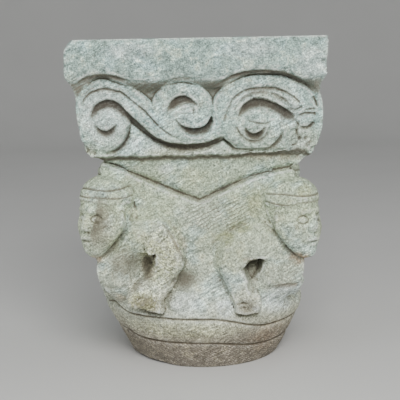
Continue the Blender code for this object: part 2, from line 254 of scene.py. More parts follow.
# %% [markdown]
# ## Bent arms
#
# Every figure props itself with a bent arm on both neighbouring sides, so each side shows the left arm of
# one figure and the right arm of another. An arm is a few flat masses that overlap: the upper arm, the
# forearm that leaves it at the elbow, and the fist that presses on the base. Each corner of an outline has
# its own distance from the axis, so a mass can lean back where it runs into the shoulder. The front is the
# best kept side. On the others the fists are worn back towards the neck.

# %% Model the arms
LEFT_SHOULDER = [
    (-104, 176, 136), (-104, 190, 141), (-100, 213, 138), (-58, 216, 141), (-60, 203, 143), (-76, 190, 142),
    (-74, 174, 132),
]
LEFT_UPPER_ARM = [
    (-71, 178, 146), (-74, 193, 144), (-68, 206, 143), (-57, 214, 144), (-48, 211, 147), (-34, 189, 149.5),
    (-26, 166, 150), (-26, 153, 148), (-34, 143, 147), (-46, 145, 148.5), (-60, 158, 148.5),
]
LEFT_FOREARM = [
    (-61, 152, 146), (-45, 143, 147), (-34, 142, 146), (-35, 134, 146), (-42, 124, 147), (-52, 112, 149),
    (-60, 103, 149), (-95, 103, 147), (-99, 110, 145), (-96, 117, 144.5), (-74, 137, 145),
]
LEFT_FIST = [
    (-97, 101, 148), (-96, 110, 147), (-80, 117, 149), (-60, 117, 151), (-54, 110, 151), (-54, 92, 150.5),
    (-66, 93.5, 151), (-82, 97.5, 149.5),
]
RIGHT_UPPER_ARM = [
    (54, 193, 136), (78, 206, 137), (98, 206, 138), (116, 186, 142), (104, 168, 145.5), (90, 164, 147),
    (74, 163, 148.5), (58, 152, 148.5), (44, 140, 147), (34, 141, 145), (30, 154, 144), (37, 175, 140),
]
RIGHT_FOREARM = [
    (34, 146, 144), (56, 149, 148), (61, 134, 148), (66, 118, 147.5), (78, 110, 148), (79, 98, 149),
    (50, 98, 149), (46, 112, 147), (37, 128, 144.5),
]
RIGHT_FIST = [
    (49, 104, 150), (49.5, 89, 150.5), (63, 86.5, 151.5), (78, 88.5, 150.5), (80, 101, 151.5),
    (66, 106, 151),
]
ARMS = [  # corners, and by how many mm the root is wider and lies aside
    (LEFT_SHOULDER, 8, 0), (LEFT_UPPER_ARM, 5, 1), (LEFT_FOREARM, 3, 1), (LEFT_FIST, 1, 0),
    (RIGHT_UPPER_ARM, 9, -9), (RIGHT_FOREARM, 6, -9), (RIGHT_FIST, 2, -1),
]
LUMP = ((-27, -129, 102), (22, 17, 17))  # a worn mound between the fists: place and radii
SIDE_LOSS = 15.0  # mm by which the fists of the other sides are worn away towards the neck
FIST_LOSS = 0.16  # share by which those fists lie nearer to the middle
FIST_HEIGHTS = (124, 90)  # heights at which that wear begins and is whole


def worn_arm(corners, side):
    """The corners of a mass as they are on one side: all but the front have lost some of the fists."""
    if side == 0:
        return corners
    worn = []
    for across, up, out in corners:
        loss = smooth_step(*FIST_HEIGHTS, up)
        worn.append((across * (1.0 - FIST_LOSS * loss), up, out - SIDE_LOSS * loss))
    return worn


for side in range(4):
    for corners, flare, aside in ARMS:
        add_flat(masses, quarter_turn(side), worn_arm(corners, side), flare, aside)
    add_ball(masses, quarter_turn(side), *LUMP)
print("with arms:", len(masses.verts), "points")

# %% [markdown]
# ## One skin
#
# The masses overlap, but they are still separate shells. The Remesh modifier in voxel mode fills them with
# small cells and keeps only the outer skin, so that the stone becomes one closed mesh of even quads, fine
# enough to carve. A few rounds of smoothing soften the seams where the masses meet.

# %% Join the masses into one skin
CELL = 1.3 * MM
stone = bpy.data.objects.new("carved_capital", bpy.data.meshes.new("carved_capital"))
bpy.context.scene.collection.objects.link(stone)
masses.to_mesh(stone.data)
masses.free()


def apply_modifiers(obj):
    """Keep the mesh as its modifiers make it."""
    graph = bpy.context.evaluated_depsgraph_get()
    obj.data = bpy.data.meshes.new_from_object(obj.evaluated_get(graph))
    obj.modifiers.clear()


def soften(obj, factor, rounds):
    """Smooth a mesh by moving each point towards its neighbours."""
    smooth = obj.modifiers.new("soften", "SMOOTH")
    smooth.factor = factor
    smooth.iterations = rounds
    apply_modifiers(obj)


skin = stone.modifiers.new("one skin", "REMESH")
skin.mode = "VOXEL"
skin.voxel_size = CELL
apply_modifiers(stone)
soften(stone, 0.5, 4)
print("skin:", len(stone.data.vertices), "points")

# %% [markdown]
# ## How carving works here
#
# A carver draws a line on the flat face and then cuts inwards. The skin is carved the same way: every point
# of a side knows how far across and how far up it lies, a function says how deep the carving is there, and
# the point moves straight inwards by that much. A groove is a smooth curve through a few rows of numbers:
# across, up, half of the breadth and the depth. Its upper lip is steep and its floor runs out gently below,
# as under a chisel that is driven in from below. A turned groove is the other way up. Every groove takes a
# little of its shoulders with it, so that the bands between two of them come out rounded. Each cut also
# leaves dirt and painted shade behind, darker the deeper the cut, which is kept for the colour.

# %% Helpers for carving
def curve_through(rows, steps=12):
    """A smooth curve through rows of numbers (Catmull-Rom), with the ends kept."""
    rows = np.array(rows, float)
    rows = np.vstack([2 * rows[0] - rows[1], rows, 2 * rows[-1] - rows[-2]])
    share = np.linspace(0.0, 1.0, steps, endpoint=False)[:, None]
    runs = []
    for a, b, c, d in zip(rows, rows[1:], rows[2:], rows[3:]):
        runs.append(0.5 * (2 * b + (c - a) * share + (2 * a - 5 * b + 4 * c - d) * share**2
                           + (3 * b - a - 3 * c + d) * share**3))
    return np.vstack(runs + [rows[-2:-1]])


def nearest(x, z, curve):
    """Distance from each place to a curve, and the row of the curve nearest to it."""
    gap = np.hypot(x[:, None] - curve[None, :, 0], z[:, None] - curve[None, :, 1])
    row = gap.argmin(axis=1)
    return gap[np.arange(len(x)), row], curve[row]


SHOULDERS = [(3.0, 0.22, 1.4), (9.0, 0.20, 1.7)]  # reach in mm, share of the depth, and mm at most
CUT_REACH = 26.0  # mm from a groove where its shoulders end
STEEP_SIDE, SOFT_SIDE = 1.05, 1.9  # breadth of a groove's two sides, as a share of its half breadth
SHADE_AND_DIRT_DEPTH = 5.5  # mm of cut at which the dirt and painted shade in a groove are darkest


def cut_lines(x, z, lines, turned=False):
    """Depth of the grooves in mm, and their dirt and painted shade (0 to 1); a turned one is steep below."""
    cut, soft = np.zeros(len(x)), np.zeros(len(x))
    for rows in lines:
        curve = curve_through(rows)
        near = np.abs(x - np.clip(x, curve[:, 0].min(), curve[:, 0].max())) < CUT_REACH
        near &= np.abs(z - np.clip(z, curve[:, 1].min(), curve[:, 1].max())) < CUT_REACH
        if not near.any():
            continue
        gap, row = nearest(x[near], z[near], curve)
        steep = smooth_step(-1.0, 1.0, (z[near] - row[:, 1]) / np.maximum(gap, 0.5))
        if turned:
            steep = 1.0 - steep
        half, depth = row[:, 2] * (SOFT_SIDE + (STEEP_SIDE - SOFT_SIDE) * steep), row[:, 3]
        cut[near] = np.maximum(cut[near], depth * 0.5 ** ((gap / half) ** (2.0 + 2.0 * steep)))
        shoulder = np.zeros(len(gap))
        for reach, share, most in SHOULDERS:
            shoulder += np.minimum(depth * share, most) * np.exp(-np.maximum(gap - half, 0.0) / reach)
        soft[near] = np.maximum(soft[near], shoulder)
    # the deeper a cut, the darker the dirt and painted shade it leaves
    return cut + soft, np.clip(cut / SHADE_AND_DIRT_DEPTH, 0.0, 1.0)


def inside(x, z, corners):
    """Distance from each place in to the rim of a polygon whose corners run anticlockwise, in mm."""
    room = np.full(len(x), np.inf)
    for (x0, z0), (x1, z1) in zip(corners, corners[1:] + corners[:1]):
        length = math.hypot(x1 - x0, z1 - z0)
        room = np.minimum(room, ((x1 - x0) * (z - z0) - (z1 - z0) * (x - x0)) / length)
    return room


print("carving helpers ready")

# %% [markdown]
# ## The frieze of scrolls
#
# A vine stem rises at the left, rolls into a scroll, swings down and up into a second scroll, and ends in a
# large third one. The scrolls keep the stone's face, and the ground between them is cut back. Here the raised
# part is three ellipses and the stem that joins them. Everything outside them sinks to the ground, and the
# grooves then turn the raised part into bands that curl round three eyes. The thin lines at the end of the
# plan are cracks and slips of the chisel, which only the front has.

# %% Plan of the frieze
FRIEZE_LOW, FRIEZE_HIGH, FRIEZE_SHOULDER = 307.5, 413.0, 386.0
CORNER_MARGIN = (1.5, 9.0)  # mm in from the corner where a groove has died out and where it is whole
GROUND_MARGIN = (2.0, 24.0)  # the same for the sunk ground, which comes up slowly
ENDS, ENDS_HIGH = (122, 136), (356, 342)  # beyond and below these the ends of the frieze aren't sunk
GROUND_SHADE_AND_DIRT = ((380, 390), (411, 399), 0.70)  # heights over which the ground darkens and over which it clears, and how dark it gets: painted shade and dirt
GROUND = 151.5  # half width of the stone at the sunk ground, mm
SCROLLS = [(-124, 361, 34, 49), (-20, 369, 39, 34), (88, 362, 69, 51)]  # middle, height, half sizes
STEM = [
    (-112, 392, 14), (-95, 383, 16), (-80, 371, 17), (-65, 357, 17), (-50, 344, 15.5), (-30, 334, 13.5),
    (-10, 329, 11.5), (10, 331, 12), (25, 338, 12),
]
SUNK = [(-20, 314, 34, 6, 1.2)]  # worn hollow: place, half sizes, depth
END_GROUND = [(112, 326), (112, 316), (132, 313), (140, 322), (138, 338), (126, 345)]
END_SINK, END_EDGE = 3.0, 7.0  # depth of that ground beside the last scroll and width of its slope, mm
GROUND_RISE = (388, 411)  # heights between which the ground comes out again to the slab's face
GROUND_STEPS = [((325, 309), 3.0), ((345, 325), -4.0)]  # heights of a slope in the ground, and its mm
BAND_EDGE, BAND_DROP = 4.5, 1.8  # width of a scroll's rounded edge and how far it drops, mm

UNDER_STEM = [
    (33, 330, 1.2, 3), (28, 327.5, 2.2, 5), (22, 324.5, 2.6, 6.5), (10, 320.5, 2.8, 7), (-15, 318, 3, 7.5),
    (-30, 319.5, 3, 7.5), (-40, 321.5, 2.8, 7), (-50, 326, 2.6, 7), (-60, 331.5, 2.4, 7),
    (-80, 350.5, 2.2, 7), (-95, 365, 2.4, 7.5), (-101, 371, 2.8, 8), (-108, 376, 3.1, 8.5),
    (-117, 378.5, 3.2, 8.5), (-124, 377, 3.2, 8), (-131, 373, 3, 7), (-136, 366, 2.6, 5),
    (-138, 358, 2, 2.2), (-136.5, 350, 1.8, 1.6), (-130.5, 343, 2, 4.5), (-126, 340, 2.4, 6),
    (-121, 338.5, 2.6, 7), (-116, 340, 2.4, 6.5), (-112, 343, 2, 5), (-107, 348.5, 1, 2),
]
TWIN_LINE = [
    (-151, 372, 1, 1), (-150, 378, 1.1, 1.8), (-146, 386, 1.2, 2.4), (-137, 392.5, 1.4, 3.4),
    (-121, 396.3, 1.5, 4), (-106, 393, 1.4, 3.6), (-98, 390.5, 1.4, 3.4), (-82, 377.5, 1.2, 2.8),
    (-75, 371.5, 1.3, 3), (-67, 364.5, 1.6, 3.6), (-57, 352.5, 1.2, 2.6), (-44, 340, 1.2, 2.6),
    (-28, 330.5, 1.1, 2.2), (-10, 327, 1.1, 1.8), (8, 329, 1, 1.4), (30, 343, 1, 0.8),
]
LEFT_RIM = [
    (-95, 352, 1.2, 1.2), (-92, 345, 1.5, 2.2), (-94, 331, 2, 4), (-104, 318, 2.4, 5),
    (-112, 313.5, 2.2, 4.5), (-120, 311, 1.6, 2.5),
]
LEFT_FOOT = [(-151, 321, 1.4, 1.6), (-146, 315, 1.8, 2.8), (-138, 312, 1.5, 2.2)]
MIDDLE_EYE = [
    (-38.5, 364, 2, 2), (-35, 371, 2.8, 5), (-31, 376.5, 3.2, 7.5), (-25, 381, 3.2, 8), (-18, 382.5, 3, 8),
    (-11, 380.5, 2.6, 7), (-6, 377, 2, 5), (1, 372.5, 1, 1.5),
]
UNDER_MIDDLE = [
    (-29, 357, 1, 1.4), (-26, 351, 1.1, 2.5), (-21, 345.5, 1.5, 4), (-15, 342, 2.2, 6.5), (-8, 340, 2.7, 8),
    (0, 339.5, 2.8, 8), (7, 341, 2.8, 8), (12, 344, 2.6, 7), (16, 349, 2, 4.5), (19, 357, 1.3, 2),
]
RIGHT_FIRST = [
    (35, 352, 1, 1.4), (36.5, 359, 1.1, 1.8), (45, 377.5, 1.2, 2.6), (52, 385, 1.3, 2.8),
    (60, 389.5, 1.4, 3), (66, 391.5, 1.6, 3.5), (75, 393, 1.8, 4.2), (95, 393.5, 1.8, 4.2),
    (103, 392.5, 1.6, 3.8), (117, 387, 1.4, 3.2), (129, 379, 1.2, 2.6), (136, 369, 1, 1.4),
]
RIGHT_SECOND = [
    (48.5, 361, 1, 1.2), (50, 368, 1.1, 2), (55, 376, 1.2, 2.4), (61, 382, 1.4, 2.8), (70, 386.5, 1.6, 3.4),
    (80, 388, 1.7, 3.6), (90, 388, 1.6, 3.4), (98, 386, 1.7, 3.2), (107, 381.5, 2.2, 3.4),
    (115, 376.5, 2.2, 3.2), (121, 370, 1.6, 2.2), (127, 363, 1, 1),
]
RIGHT_EYE = [
    (53.5, 351, 1.2, 1), (54.5, 357, 1.8, 2.5), (57, 363, 2.4, 4.5), (61.5, 369, 2.8, 6.5),
    (67, 373, 3, 7.5), (74, 375.8, 3.2, 8.5), (82, 376.5, 3.2, 8.5), (90, 375, 3, 8.5), (98, 372, 3, 8.5),
    (106, 368, 3.2, 8.5), (113, 363.5, 3.6, 8), (119, 359, 3.8, 7), (124, 355, 3.2, 5), (129, 350, 2, 2),
]
RIGHT_LIP = [
    (62, 343, 1.1, 2), (64, 338, 1.7, 4.5), (68, 333.5, 2.2, 6.5), (74, 331, 2.6, 7.5), (80, 333, 2.4, 7),
    (84, 336.5, 1.8, 5), (88, 341, 1.1, 2.5),
]
RIGHT_UNDER = [
    (50, 347, 1.1, 1.4), (53, 339, 1.2, 2.4), (57, 332.5, 1.4, 3), (63, 327, 1.5, 3.6),
    (69, 324.3, 1.6, 4.2), (75, 323.5, 1.6, 4.2), (82, 325, 1.5, 3.8), (88, 330, 1.4, 3.4),
    (92, 337, 1.2, 2.6), (95, 345, 1, 1.2),
]
RIGHT_FOOT = [
    (30.5, 330, 1.3, 3.5), (40, 321, 1.4, 4.2), (45, 316, 1.5, 4.4), (50, 313, 1.6, 4.2),
    (60, 312.5, 1.4, 3.4), (88, 313, 1.4, 3.2), (95, 314.5, 1.7, 3.8), (100, 318, 2.1, 4.8),
    (105, 323, 2.2, 5), (109, 329, 1.9, 4.5), (110.5, 336, 1.3, 2.2), (110, 342, 1, 1),
]
SLAB_LEFT = [
    (-160, 401, 1.6, 2), (-150, 407, 2.2, 4), (-140, 411.5, 2.4, 4.8), (-125, 413.5, 2.4, 5.2),
    (-112, 412.3, 2.3, 5), (-100, 409.5, 2, 5), (-90, 406.5, 1.6, 3),
]
SLAB_MIDDLE = [(-38, 405, 1.5, 2), (-28, 407.5, 2, 3), (-15, 408.5, 2, 3), (-4, 406.5, 1.5, 2)]
SLAB_RIGHT = [
    (26, 401, 1.8, 2.5), (36, 405, 2, 4), (45, 409.5, 2, 5), (55, 412.5, 2.2, 5.5), (70, 414.8, 2.2, 5.5),
    (85, 415.3, 2.2, 5.5), (98, 414.5, 2.2, 5.5), (110, 412.5, 2.2, 5), (121, 409, 2.2, 5),
    (131, 404.5, 2.2, 5), (141, 399, 2.2, 4.5), (150, 393, 2, 3.8), (157, 386, 1.5, 2),
]
SCROLL_LINES = [UNDER_STEM, TWIN_LINE, LEFT_RIM, MIDDLE_EYE, UNDER_MIDDLE, RIGHT_FIRST,
                RIGHT_SECOND, RIGHT_EYE, RIGHT_LIP, RIGHT_UNDER, RIGHT_FOOT, SLAB_LEFT, SLAB_MIDDLE,
                SLAB_RIGHT]
SLIPS = [LEFT_FOOT,
         [(-27, 369, 1.1, 1.6), (-20, 368, 1.2, 2.4), (-12, 369.5, 1.1, 1.6)],
         [(-25, 363, 1.1, 1.4), (-17, 362.5, 1.2, 2.2), (-10, 362, 1.1, 1.4)],
         [(-9, 373, 1.1, 1.6), (-5, 368, 1.2, 2.6), (-6, 363, 1.2, 2.2), (-11, 360, 1.1, 1.4)],
         [(-27, 350, 1, 1), (-22, 343, 1, 1.3), (-15, 339, 1, 1.3), (-8, 337, 1, 0.9)],
         [(35, 331, 1, 1.2), (41, 326, 1, 1.6), (47, 320.5, 1, 1.6), (53, 317, 1, 1)],
         [(65, 351.5, 1.1, 1.4), (72, 350, 1.2, 2.2), (86, 347, 1.2, 2.4), (93, 349, 1.2, 2.2),
          (101, 350, 1.1, 1.2)],
         [(84, 337, 1, 1.2), (88, 342, 1, 1.4), (93, 352, 1, 0.9)],
         [(119, 366, 1.3, 3.2), (129, 365.5, 1.4, 3.8), (136, 368, 1.3, 3)],
         [(129, 355, 1.2, 2.2), (140, 360, 1.4, 3.6), (153, 360, 1.4, 3.4)],
         [(141, 364, 1.2, 2.6), (152, 366, 1.3, 3)],
         [(129, 343, 1.2, 2.4), (143, 341, 1.4, 3.6), (151, 347, 1.2, 2.6)],
         [(127, 352, 1.2, 2.2), (132, 345, 1.4, 3.4), (130, 336, 1.3, 3), (134, 328, 1.2, 2.2)],
         [(152, 381, 1.3, 3.2), (157, 371, 1.3, 3.2)],
         [(134, 318, 1, 1), (141, 326, 1, 1.4), (150, 338, 1, 1)],
         [(140, 314, 1, 1), (148, 322, 1, 1.3), (154, 330, 1, 0.9)],
         [(-168, 404, 1.1, 1.4), (-160, 411, 1.2, 1.8), (-152, 415, 1.1, 1)],
         [(-166, 398, 1.1, 1.2), (-156, 405, 1.2, 1.8), (-147, 404, 1.1, 1)]]


def frieze_ground(x, z):
    """How deep the ground between the scrolls lies under the outline, in mm, and its painted shade and dirt.
    """
    outside = np.full(len(x), np.inf)
    for middle, height, half_width, half_height in SCROLLS:
        reach = ellipse(x, z, middle, height, half_width, half_height)
        outside = np.minimum(outside, (reach - 1.0) * min(half_width, half_height))
    gap, row = nearest(x, z, curve_through(STEM))
    outside = np.minimum(outside, gap - row[:, 2])

    outline = column(OUTLINE, 1, z)
    face = column(OUTLINE, 1, np.minimum(z, FRIEZE_SHOULDER))
    rise = smooth_step(*GROUND_RISE, z) * (HALF_WIDTH / MM - GROUND)
    foot = sum(step * smooth_step(*heights, z) for heights, step in GROUND_STEPS)
    ground = np.minimum(GROUND + rise + foot, face + rise)
    share = smooth_step(-0.5, 2.5, outside)
    share *= 1.0 - smooth_step(*ENDS, np.abs(x)) * smooth_step(*ENDS_HIGH, z)
    rounding = BAND_DROP * smooth_step(-BAND_EDGE, 0.0, outside) * (1.0 - share)
    depth = outline - (face * (1.0 - share) + ground * share) + rounding
    for middle, height, half_width, half_height, sink in SUNK:
        depth += sink * smooth_step(1.2, 0.8, ellipse(x, z, middle, height, half_width, half_height))
    depth += END_SINK * smooth_step(0.0, END_EDGE, inside(x, z, END_GROUND))
    depth *= smooth_step(FRIEZE_HIGH, FRIEZE_HIGH - 1.5, z)
    dull, clean, most = GROUND_SHADE_AND_DIRT
    # the ground under the slab is painted darker: shade and dirt
    return depth, most * smooth_step(0.5, 3.0, outside) * smooth_step(*dull, z) * smooth_step(*clean, z)


print("frieze:", len(SCROLL_LINES), "grooves and", len(SLIPS), "slips")

# %% [markdown]
# ## Cloth, arms and base
#
# Under the ledge the field ends in an edge like a wide V, as if a cloth hung there. The panel above the edge
# lies deeper, and a turned groove runs along it, so that its lower side catches the light. The other lines
# part the heads from the shoulders, the arms from the chest, the fingers from each other and the figures
# from the base. Between arm and chest the stone is cut deep: those pockets are small polygons that go deepest
# at the top, where the light does not reach, and they are painted darker the deeper they go. Soft hollows
# are ellipses that sink a little or not at all, and are painted darker, mostly as shade and partly as dirt.

# %% Plan of the cloth, the figures and the pockets
V_LEFT = [
    (-137, 299, 1.4, 2), (-128, 296, 1.8, 3.6), (-100, 284, 2.2, 5), (-60, 266, 2.3, 5.4),
    (-30, 252.5, 2.3, 5.4), (1, 240.5, 2.2, 5),
]
V_RIGHT = [
    (1, 240.5, 2.2, 5), (30, 254, 2.3, 5.4), (60, 267.5, 2.3, 5.4), (75, 273, 2.3, 5.4), (90, 276.5, 2.2, 5),
    (120, 281.5, 2, 4), (137, 283.5, 1.4, 2),
]
CLOTH_TOP = 304.0
PANEL_SINK, PANEL_TOP_SINK = 5.5, 2.6  # of the panel just above the V, and under the ledge

LEFT_JAW = [
    (-99, 213, 1.8, 1.2), (-102, 205, 2.2, 2.2), (-108, 196, 2.6, 3), (-114, 187, 2.8, 3.4),
    (-121, 179, 2.8, 3.6), (-129, 172, 2.8, 3.4), (-137, 166, 2.6, 3), (-144, 161, 2, 2),
]
RIGHT_JAW = [
    (82, 213, 1.8, 1.2), (90, 208, 2.4, 2.2), (97, 202, 2.6, 2.6), (103, 195.5, 2.6, 2.8),
    (108, 189, 2.6, 2.8), (113, 182, 2.6, 3), (119, 174, 2.6, 3.2), (127, 167.5, 2.6, 3.2),
    (136, 163, 2.4, 3), (144, 162, 1.8, 2),
]
BEHIND_HEADS = [
    [(-99, 262, 1.2, 1), (-92, 248, 1.4, 1.8), (-87, 234, 1.4, 1.8), (-85, 220, 1.2, 1)],
    [(76, 262, 3, 0.6), (73, 240, 5, 1.4), (69, 222, 4.5, 1.2), (64, 210, 3, 0.6)],
]
ARM_LINES = [
    [(-52, 214, 1.4, 1.6), (-45, 207, 1.6, 2.8), (-37, 194, 1.6, 3), (-27, 172, 1.6, 3), (-21, 160, 1.6, 3),
     (-22, 150, 1.6, 2.6), (-30, 141, 1.6, 2.6), (-38, 133, 1.6, 2.4), (-44, 122, 1.6, 1.6)],
    [(-101, 97.5, 1.5, 1.5), (-95, 96, 2, 4), (-84, 92.5, 2.4, 6), (-68, 89, 2.4, 6.5), (-54, 86.5, 1.8, 5)],
    [(-46, 122, 2.2, 1), (-50.5, 112, 2.4, 2), (-51, 92, 2.2, 1.8)],
    [(-72, 143, 2, 1.6), (-81, 134, 2.2, 2.8), (-91, 124, 2.2, 3.2), (-99, 114, 2, 2.6),
     (-104, 104, 1.8, 1.6)],
    [(22, 152, 2.2, 1), (26, 140, 2.4, 2.4), (34, 122, 2.4, 3), (43, 104, 2, 2.4), (46, 94, 1.8, 2)],
    [(-84, 108, 1.2, 0.6), (-83, 98, 1.3, 1)],
    [(-73, 108, 1.2, 0.6), (-72, 96, 1.3, 1)],
    [(47, 88, 1.3, 2), (51, 85.5, 1.6, 4), (60, 84, 1.8, 5), (70, 85, 1.8, 5), (79, 88.5, 1.4, 3)],
    [(50, 101.5, 1.3, 2.4), (57, 102.5, 1.5, 3.4), (65, 101, 1.3, 2.4)],
    [(51, 95.5, 1.3, 2.6), (58, 96, 1.5, 3.6), (65, 94.5, 1.3, 2.6)],
    [(67, 104, 1.3, 1.8), (68.5, 92, 1.4, 2.6)],
    [(-72, 180, 3, 1.2), (-76, 190, 3.5, 2), (-75, 200, 3, 1.6), (-70, 208, 2.5, 0.8)],
    [(16, 172, 3, 1), (24, 184, 3.5, 1.6), (36, 194, 3.5, 1.6), (50, 202, 3.5, 1.6), (66, 208, 3, 1.2)],
]
FOLDS = [[(88, 142, 1.1, 1), (94, 135, 1.2, 1.4), (100, 129, 1.1, 1)]]
BASE_LINES = [
    [(-145, 131, 2, 1.2), (-132, 126.5, 2.8, 1.8), (-118, 123, 2.8, 1.8), (-104, 118, 2.2, 1)],
    [(90, 121, 1.6, 1), (98, 121.5, 2.4, 2.2), (110, 122, 2.8, 2.8), (124, 123, 2.8, 2.8),
     (142, 126, 2, 1.6)],
    [(-50, 96, 2.4, 0.8), (-45, 110, 3.4, 1.2), (-37, 119, 3.6, 1.4), (-24, 121, 2.8, 0.8)],
]
CLOTH_LINES = [V_LEFT, V_RIGHT]
BODY_LINES = [LEFT_JAW, RIGHT_JAW, *BEHIND_HEADS, *ARM_LINES, *FOLDS, *BASE_LINES]

ARM_FACE = 150.0  # mm from the axis to the arms' outer face
POCKET_SHADE_DEPTH = 58.0  # mm of depth at which a pocket's painted shade is darkest
POCKETS = [  # corners, depth at the top and at the bottom, and width of the wall, in mm
    ([(-76, 148), (-70, 146), (-60, 160), (-57, 170), (-60, 175), (-67, 172)], 28.0, 28.0, 8.0),
    ([(-96, 130), (-88, 126), (-76, 137), (-63, 150), (-57, 158), (-60, 172), (-76, 176), (-92, 150)],
     37.0, 27.0, 14.0),
    ([(65, 125), (75, 125), (86, 141), (90, 163), (80, 165), (66, 161), (54, 149), (59, 137)],
     39.0, 26.0, 8.0),
    ([(66, 107), (76, 108), (88, 132), (80, 142), (62, 140), (60, 124)], 26.0, 6.0, 10.0),
]
HOLLOWS = [  # middle, height, half sizes, depth in mm, and painted shade with some dirt
    (-24, 131, 36, 23, 8.0, 0.75), (-102, 158, 42, 44, 0.0, 0.58), (-78, 106, 32, 20, 0.0, 0.5),
    (-138, 222, 36, 60, 0.0, 0.7), (26, 130, 12, 24, 0.0, 0.45), (-73, 151, 18, 32, 0.0, 0.85),
    (133, 162, 13, 8, 0.0, 0.5), (-138, 164, 10, 7, 0.0, 0.5), (-44, 112, 10, 20, 1.5, 0.5),
    (64, 98, 24, 22, 0.0, 0.55), (-20, 178, 9, 26, 0.8, 0.4), (70, 236, 7, 22, 0.5, 0.2),
    (20, 178, 12, 30, 0.0, 0.4),
]


def cloth_depth(x, z):
    """How deep the panel lies behind the V of cloth, in mm."""
    edge = V_LEFT + V_RIGHT[1:]
    rim = np.interp(x, [row[0] for row in edge], [row[1] for row in edge])
    share = np.clip((z - rim) / np.maximum(CLOTH_TOP - rim, 1.0), 0.0, 1.0)
    return (PANEL_SINK + (PANEL_TOP_SINK - PANEL_SINK) * share) * smooth_step(rim - 0.5, rim + 1.5, z)


print("figures:", len(BODY_LINES), "lines and", len(POCKETS), "pockets")

# %% [markdown]
# ## Carve the four sides
#
# The plans above are drawn for a side seen straight on. Each side is brought to the front in turn, carved,
# and turned back. Only points that belong to the side are moved, which keeps the carving of one side from
# cutting through the corner into the next. No carver repeats a side exactly, so on the other three sides
# the frieze sways by a few millimetres, the low lines are fainter, and there are no slips. The front's ledge
# climbs to the right, its slab hangs down between the scrolls, and the ends of its V lie at two heights, so
# the cloth of the next sides is lifted to meet them at the corners.

# %% Press the carving into the skin
FACE_SKIN = 7.0  # mm behind the outline within which a point belongs to the face
SIDE_WEAR = 0.75  # share of the low lines' depth that the other sides have lost
LOW_LINES = (140, 115)  # heights at which that loss begins and is whole
SIDE_SHADE_AND_DIRT = 0.5  # share of the front's painted shade and dirt in the hollows that the other sides have
CLOTH_SHADE_AND_DIRT = 0.55  # share of a groove's dirt and painted shade that the cloth's edge holds
FIGURES = (70.0, FRIEZE_LOW - 2.0)  # heights between which the cloth and the figures are carved
PANEL_FOOT = 230.0  # height above which the panel over the V may be sunk
SWAY, SWAY_LENGTH = 4.0, 150.0  # how far the plan drifts on the other sides, and over what distance, in mm
EDGE_LIFT = 15.5  # mm between the two ends of the front's cloth edge
LEDGE_RISE = 5.5  # mm that the front's ledge climbs towards the right
LEDGE_WAVES = [(1.0, 57, 0.0), (0.7, 22, 1.3), (0.4, 9, 2.2)]  # height and length in mm, and phase
SLAB_SAGS = [(-64, 30, -6.0), (22, 28, -7.0), (88, 52, 3.0), (-128, 34, 2.0)]  # place, half breadth, rise


def read_points(mesh):
    """All points of a mesh as rows, in metres."""
    rows = np.empty(len(mesh.vertices) * 3)
    mesh.vertices.foreach_get("co", rows)
    return rows.reshape(-1, 3)


def write_points(mesh, points):
    """Move the points of a mesh."""
    mesh.vertices.foreach_set("co", points.ravel())
    mesh.update()


def ledge_climb(points):
    """How far the front's ledge lies above its even height: it climbs a little towards the right, in mm."""
    x, y, z = points.T / MM
    near = smooth_step(284, 300, z) * smooth_step(334, 316, z) * smooth_step(-125, -145, y)
    uneven = sum(rise * np.sin(2 * math.pi * x / length + phase) for rise, length, phase in LEDGE_WAVES)
    return near * (uneven + LEDGE_RISE * smooth_step(20, 110, x) * smooth_step(152, 140, x))


def slab_sag(points):
    """How far the front's slab edge lies above its even height: it hangs down between the scrolls, in mm."""
    x, y, z = points.T / MM
    near = smooth_step(392, 403, z) * smooth_step(438, 418, z) * smooth_step(-125, -145, y)
    return near * sum(rise * smooth_step(half, 0.0, np.abs(x - middle)) for middle, half, rise in SLAB_SAGS)


def swayed(x, z, side):
    """Where a side reads the plan: the front as drawn, the others a little beside it."""
    if side == 0:
        return x, z
    turn = 2 * math.pi / SWAY_LENGTH
    return x + SWAY * np.sin(turn * z + 2.1 * side), z + 0.5 * SWAY * np.sin(turn * x + 1.3 * side)


def cloth_lift(x, z, side):
    """How far a side's cloth edge lies above the plan, so that two edges meet at their corner, in mm."""
    if side == 0:
        return 0.0
    lift = EDGE_LIFT * smooth_step(40, 137, x)
    if side == 1:
        lift -= EDGE_LIFT * smooth_step(-40, -137, x)
    return lift * smooth_step(235, 262, z)


def carve_frieze(local, dirt_and_shade, side, face, own):
    """Cut the scrolls and sink the ground between them."""
    part = np.flatnonzero(face & (local[:, 2] > FRIEZE_LOW + 1.0) & (local[:, 2] < FRIEZE_HIGH + 8.0))
    x, z, own = local[part, 0], local[part, 2], own[part]
    room = column(OUTLINE, 1, z) - np.abs(x)
    fade = smooth_step(*CORNER_MARGIN, room)
    across, up = swayed(x, z, side)
    cut, soil_and_shade = cut_lines(across, up, SCROLL_LINES + (SLIPS if side == 0 else []))
    sunk, dull = frieze_ground(across, up)
    sunk *= smooth_step(*GROUND_MARGIN, room) * (z < FRIEZE_HIGH)
    local[part, 1] += (cut * fade + sunk) * own
    dirt_and_shade[part] = np.maximum(dirt_and_shade[part], np.maximum(soil_and_shade * fade, dull) * own)


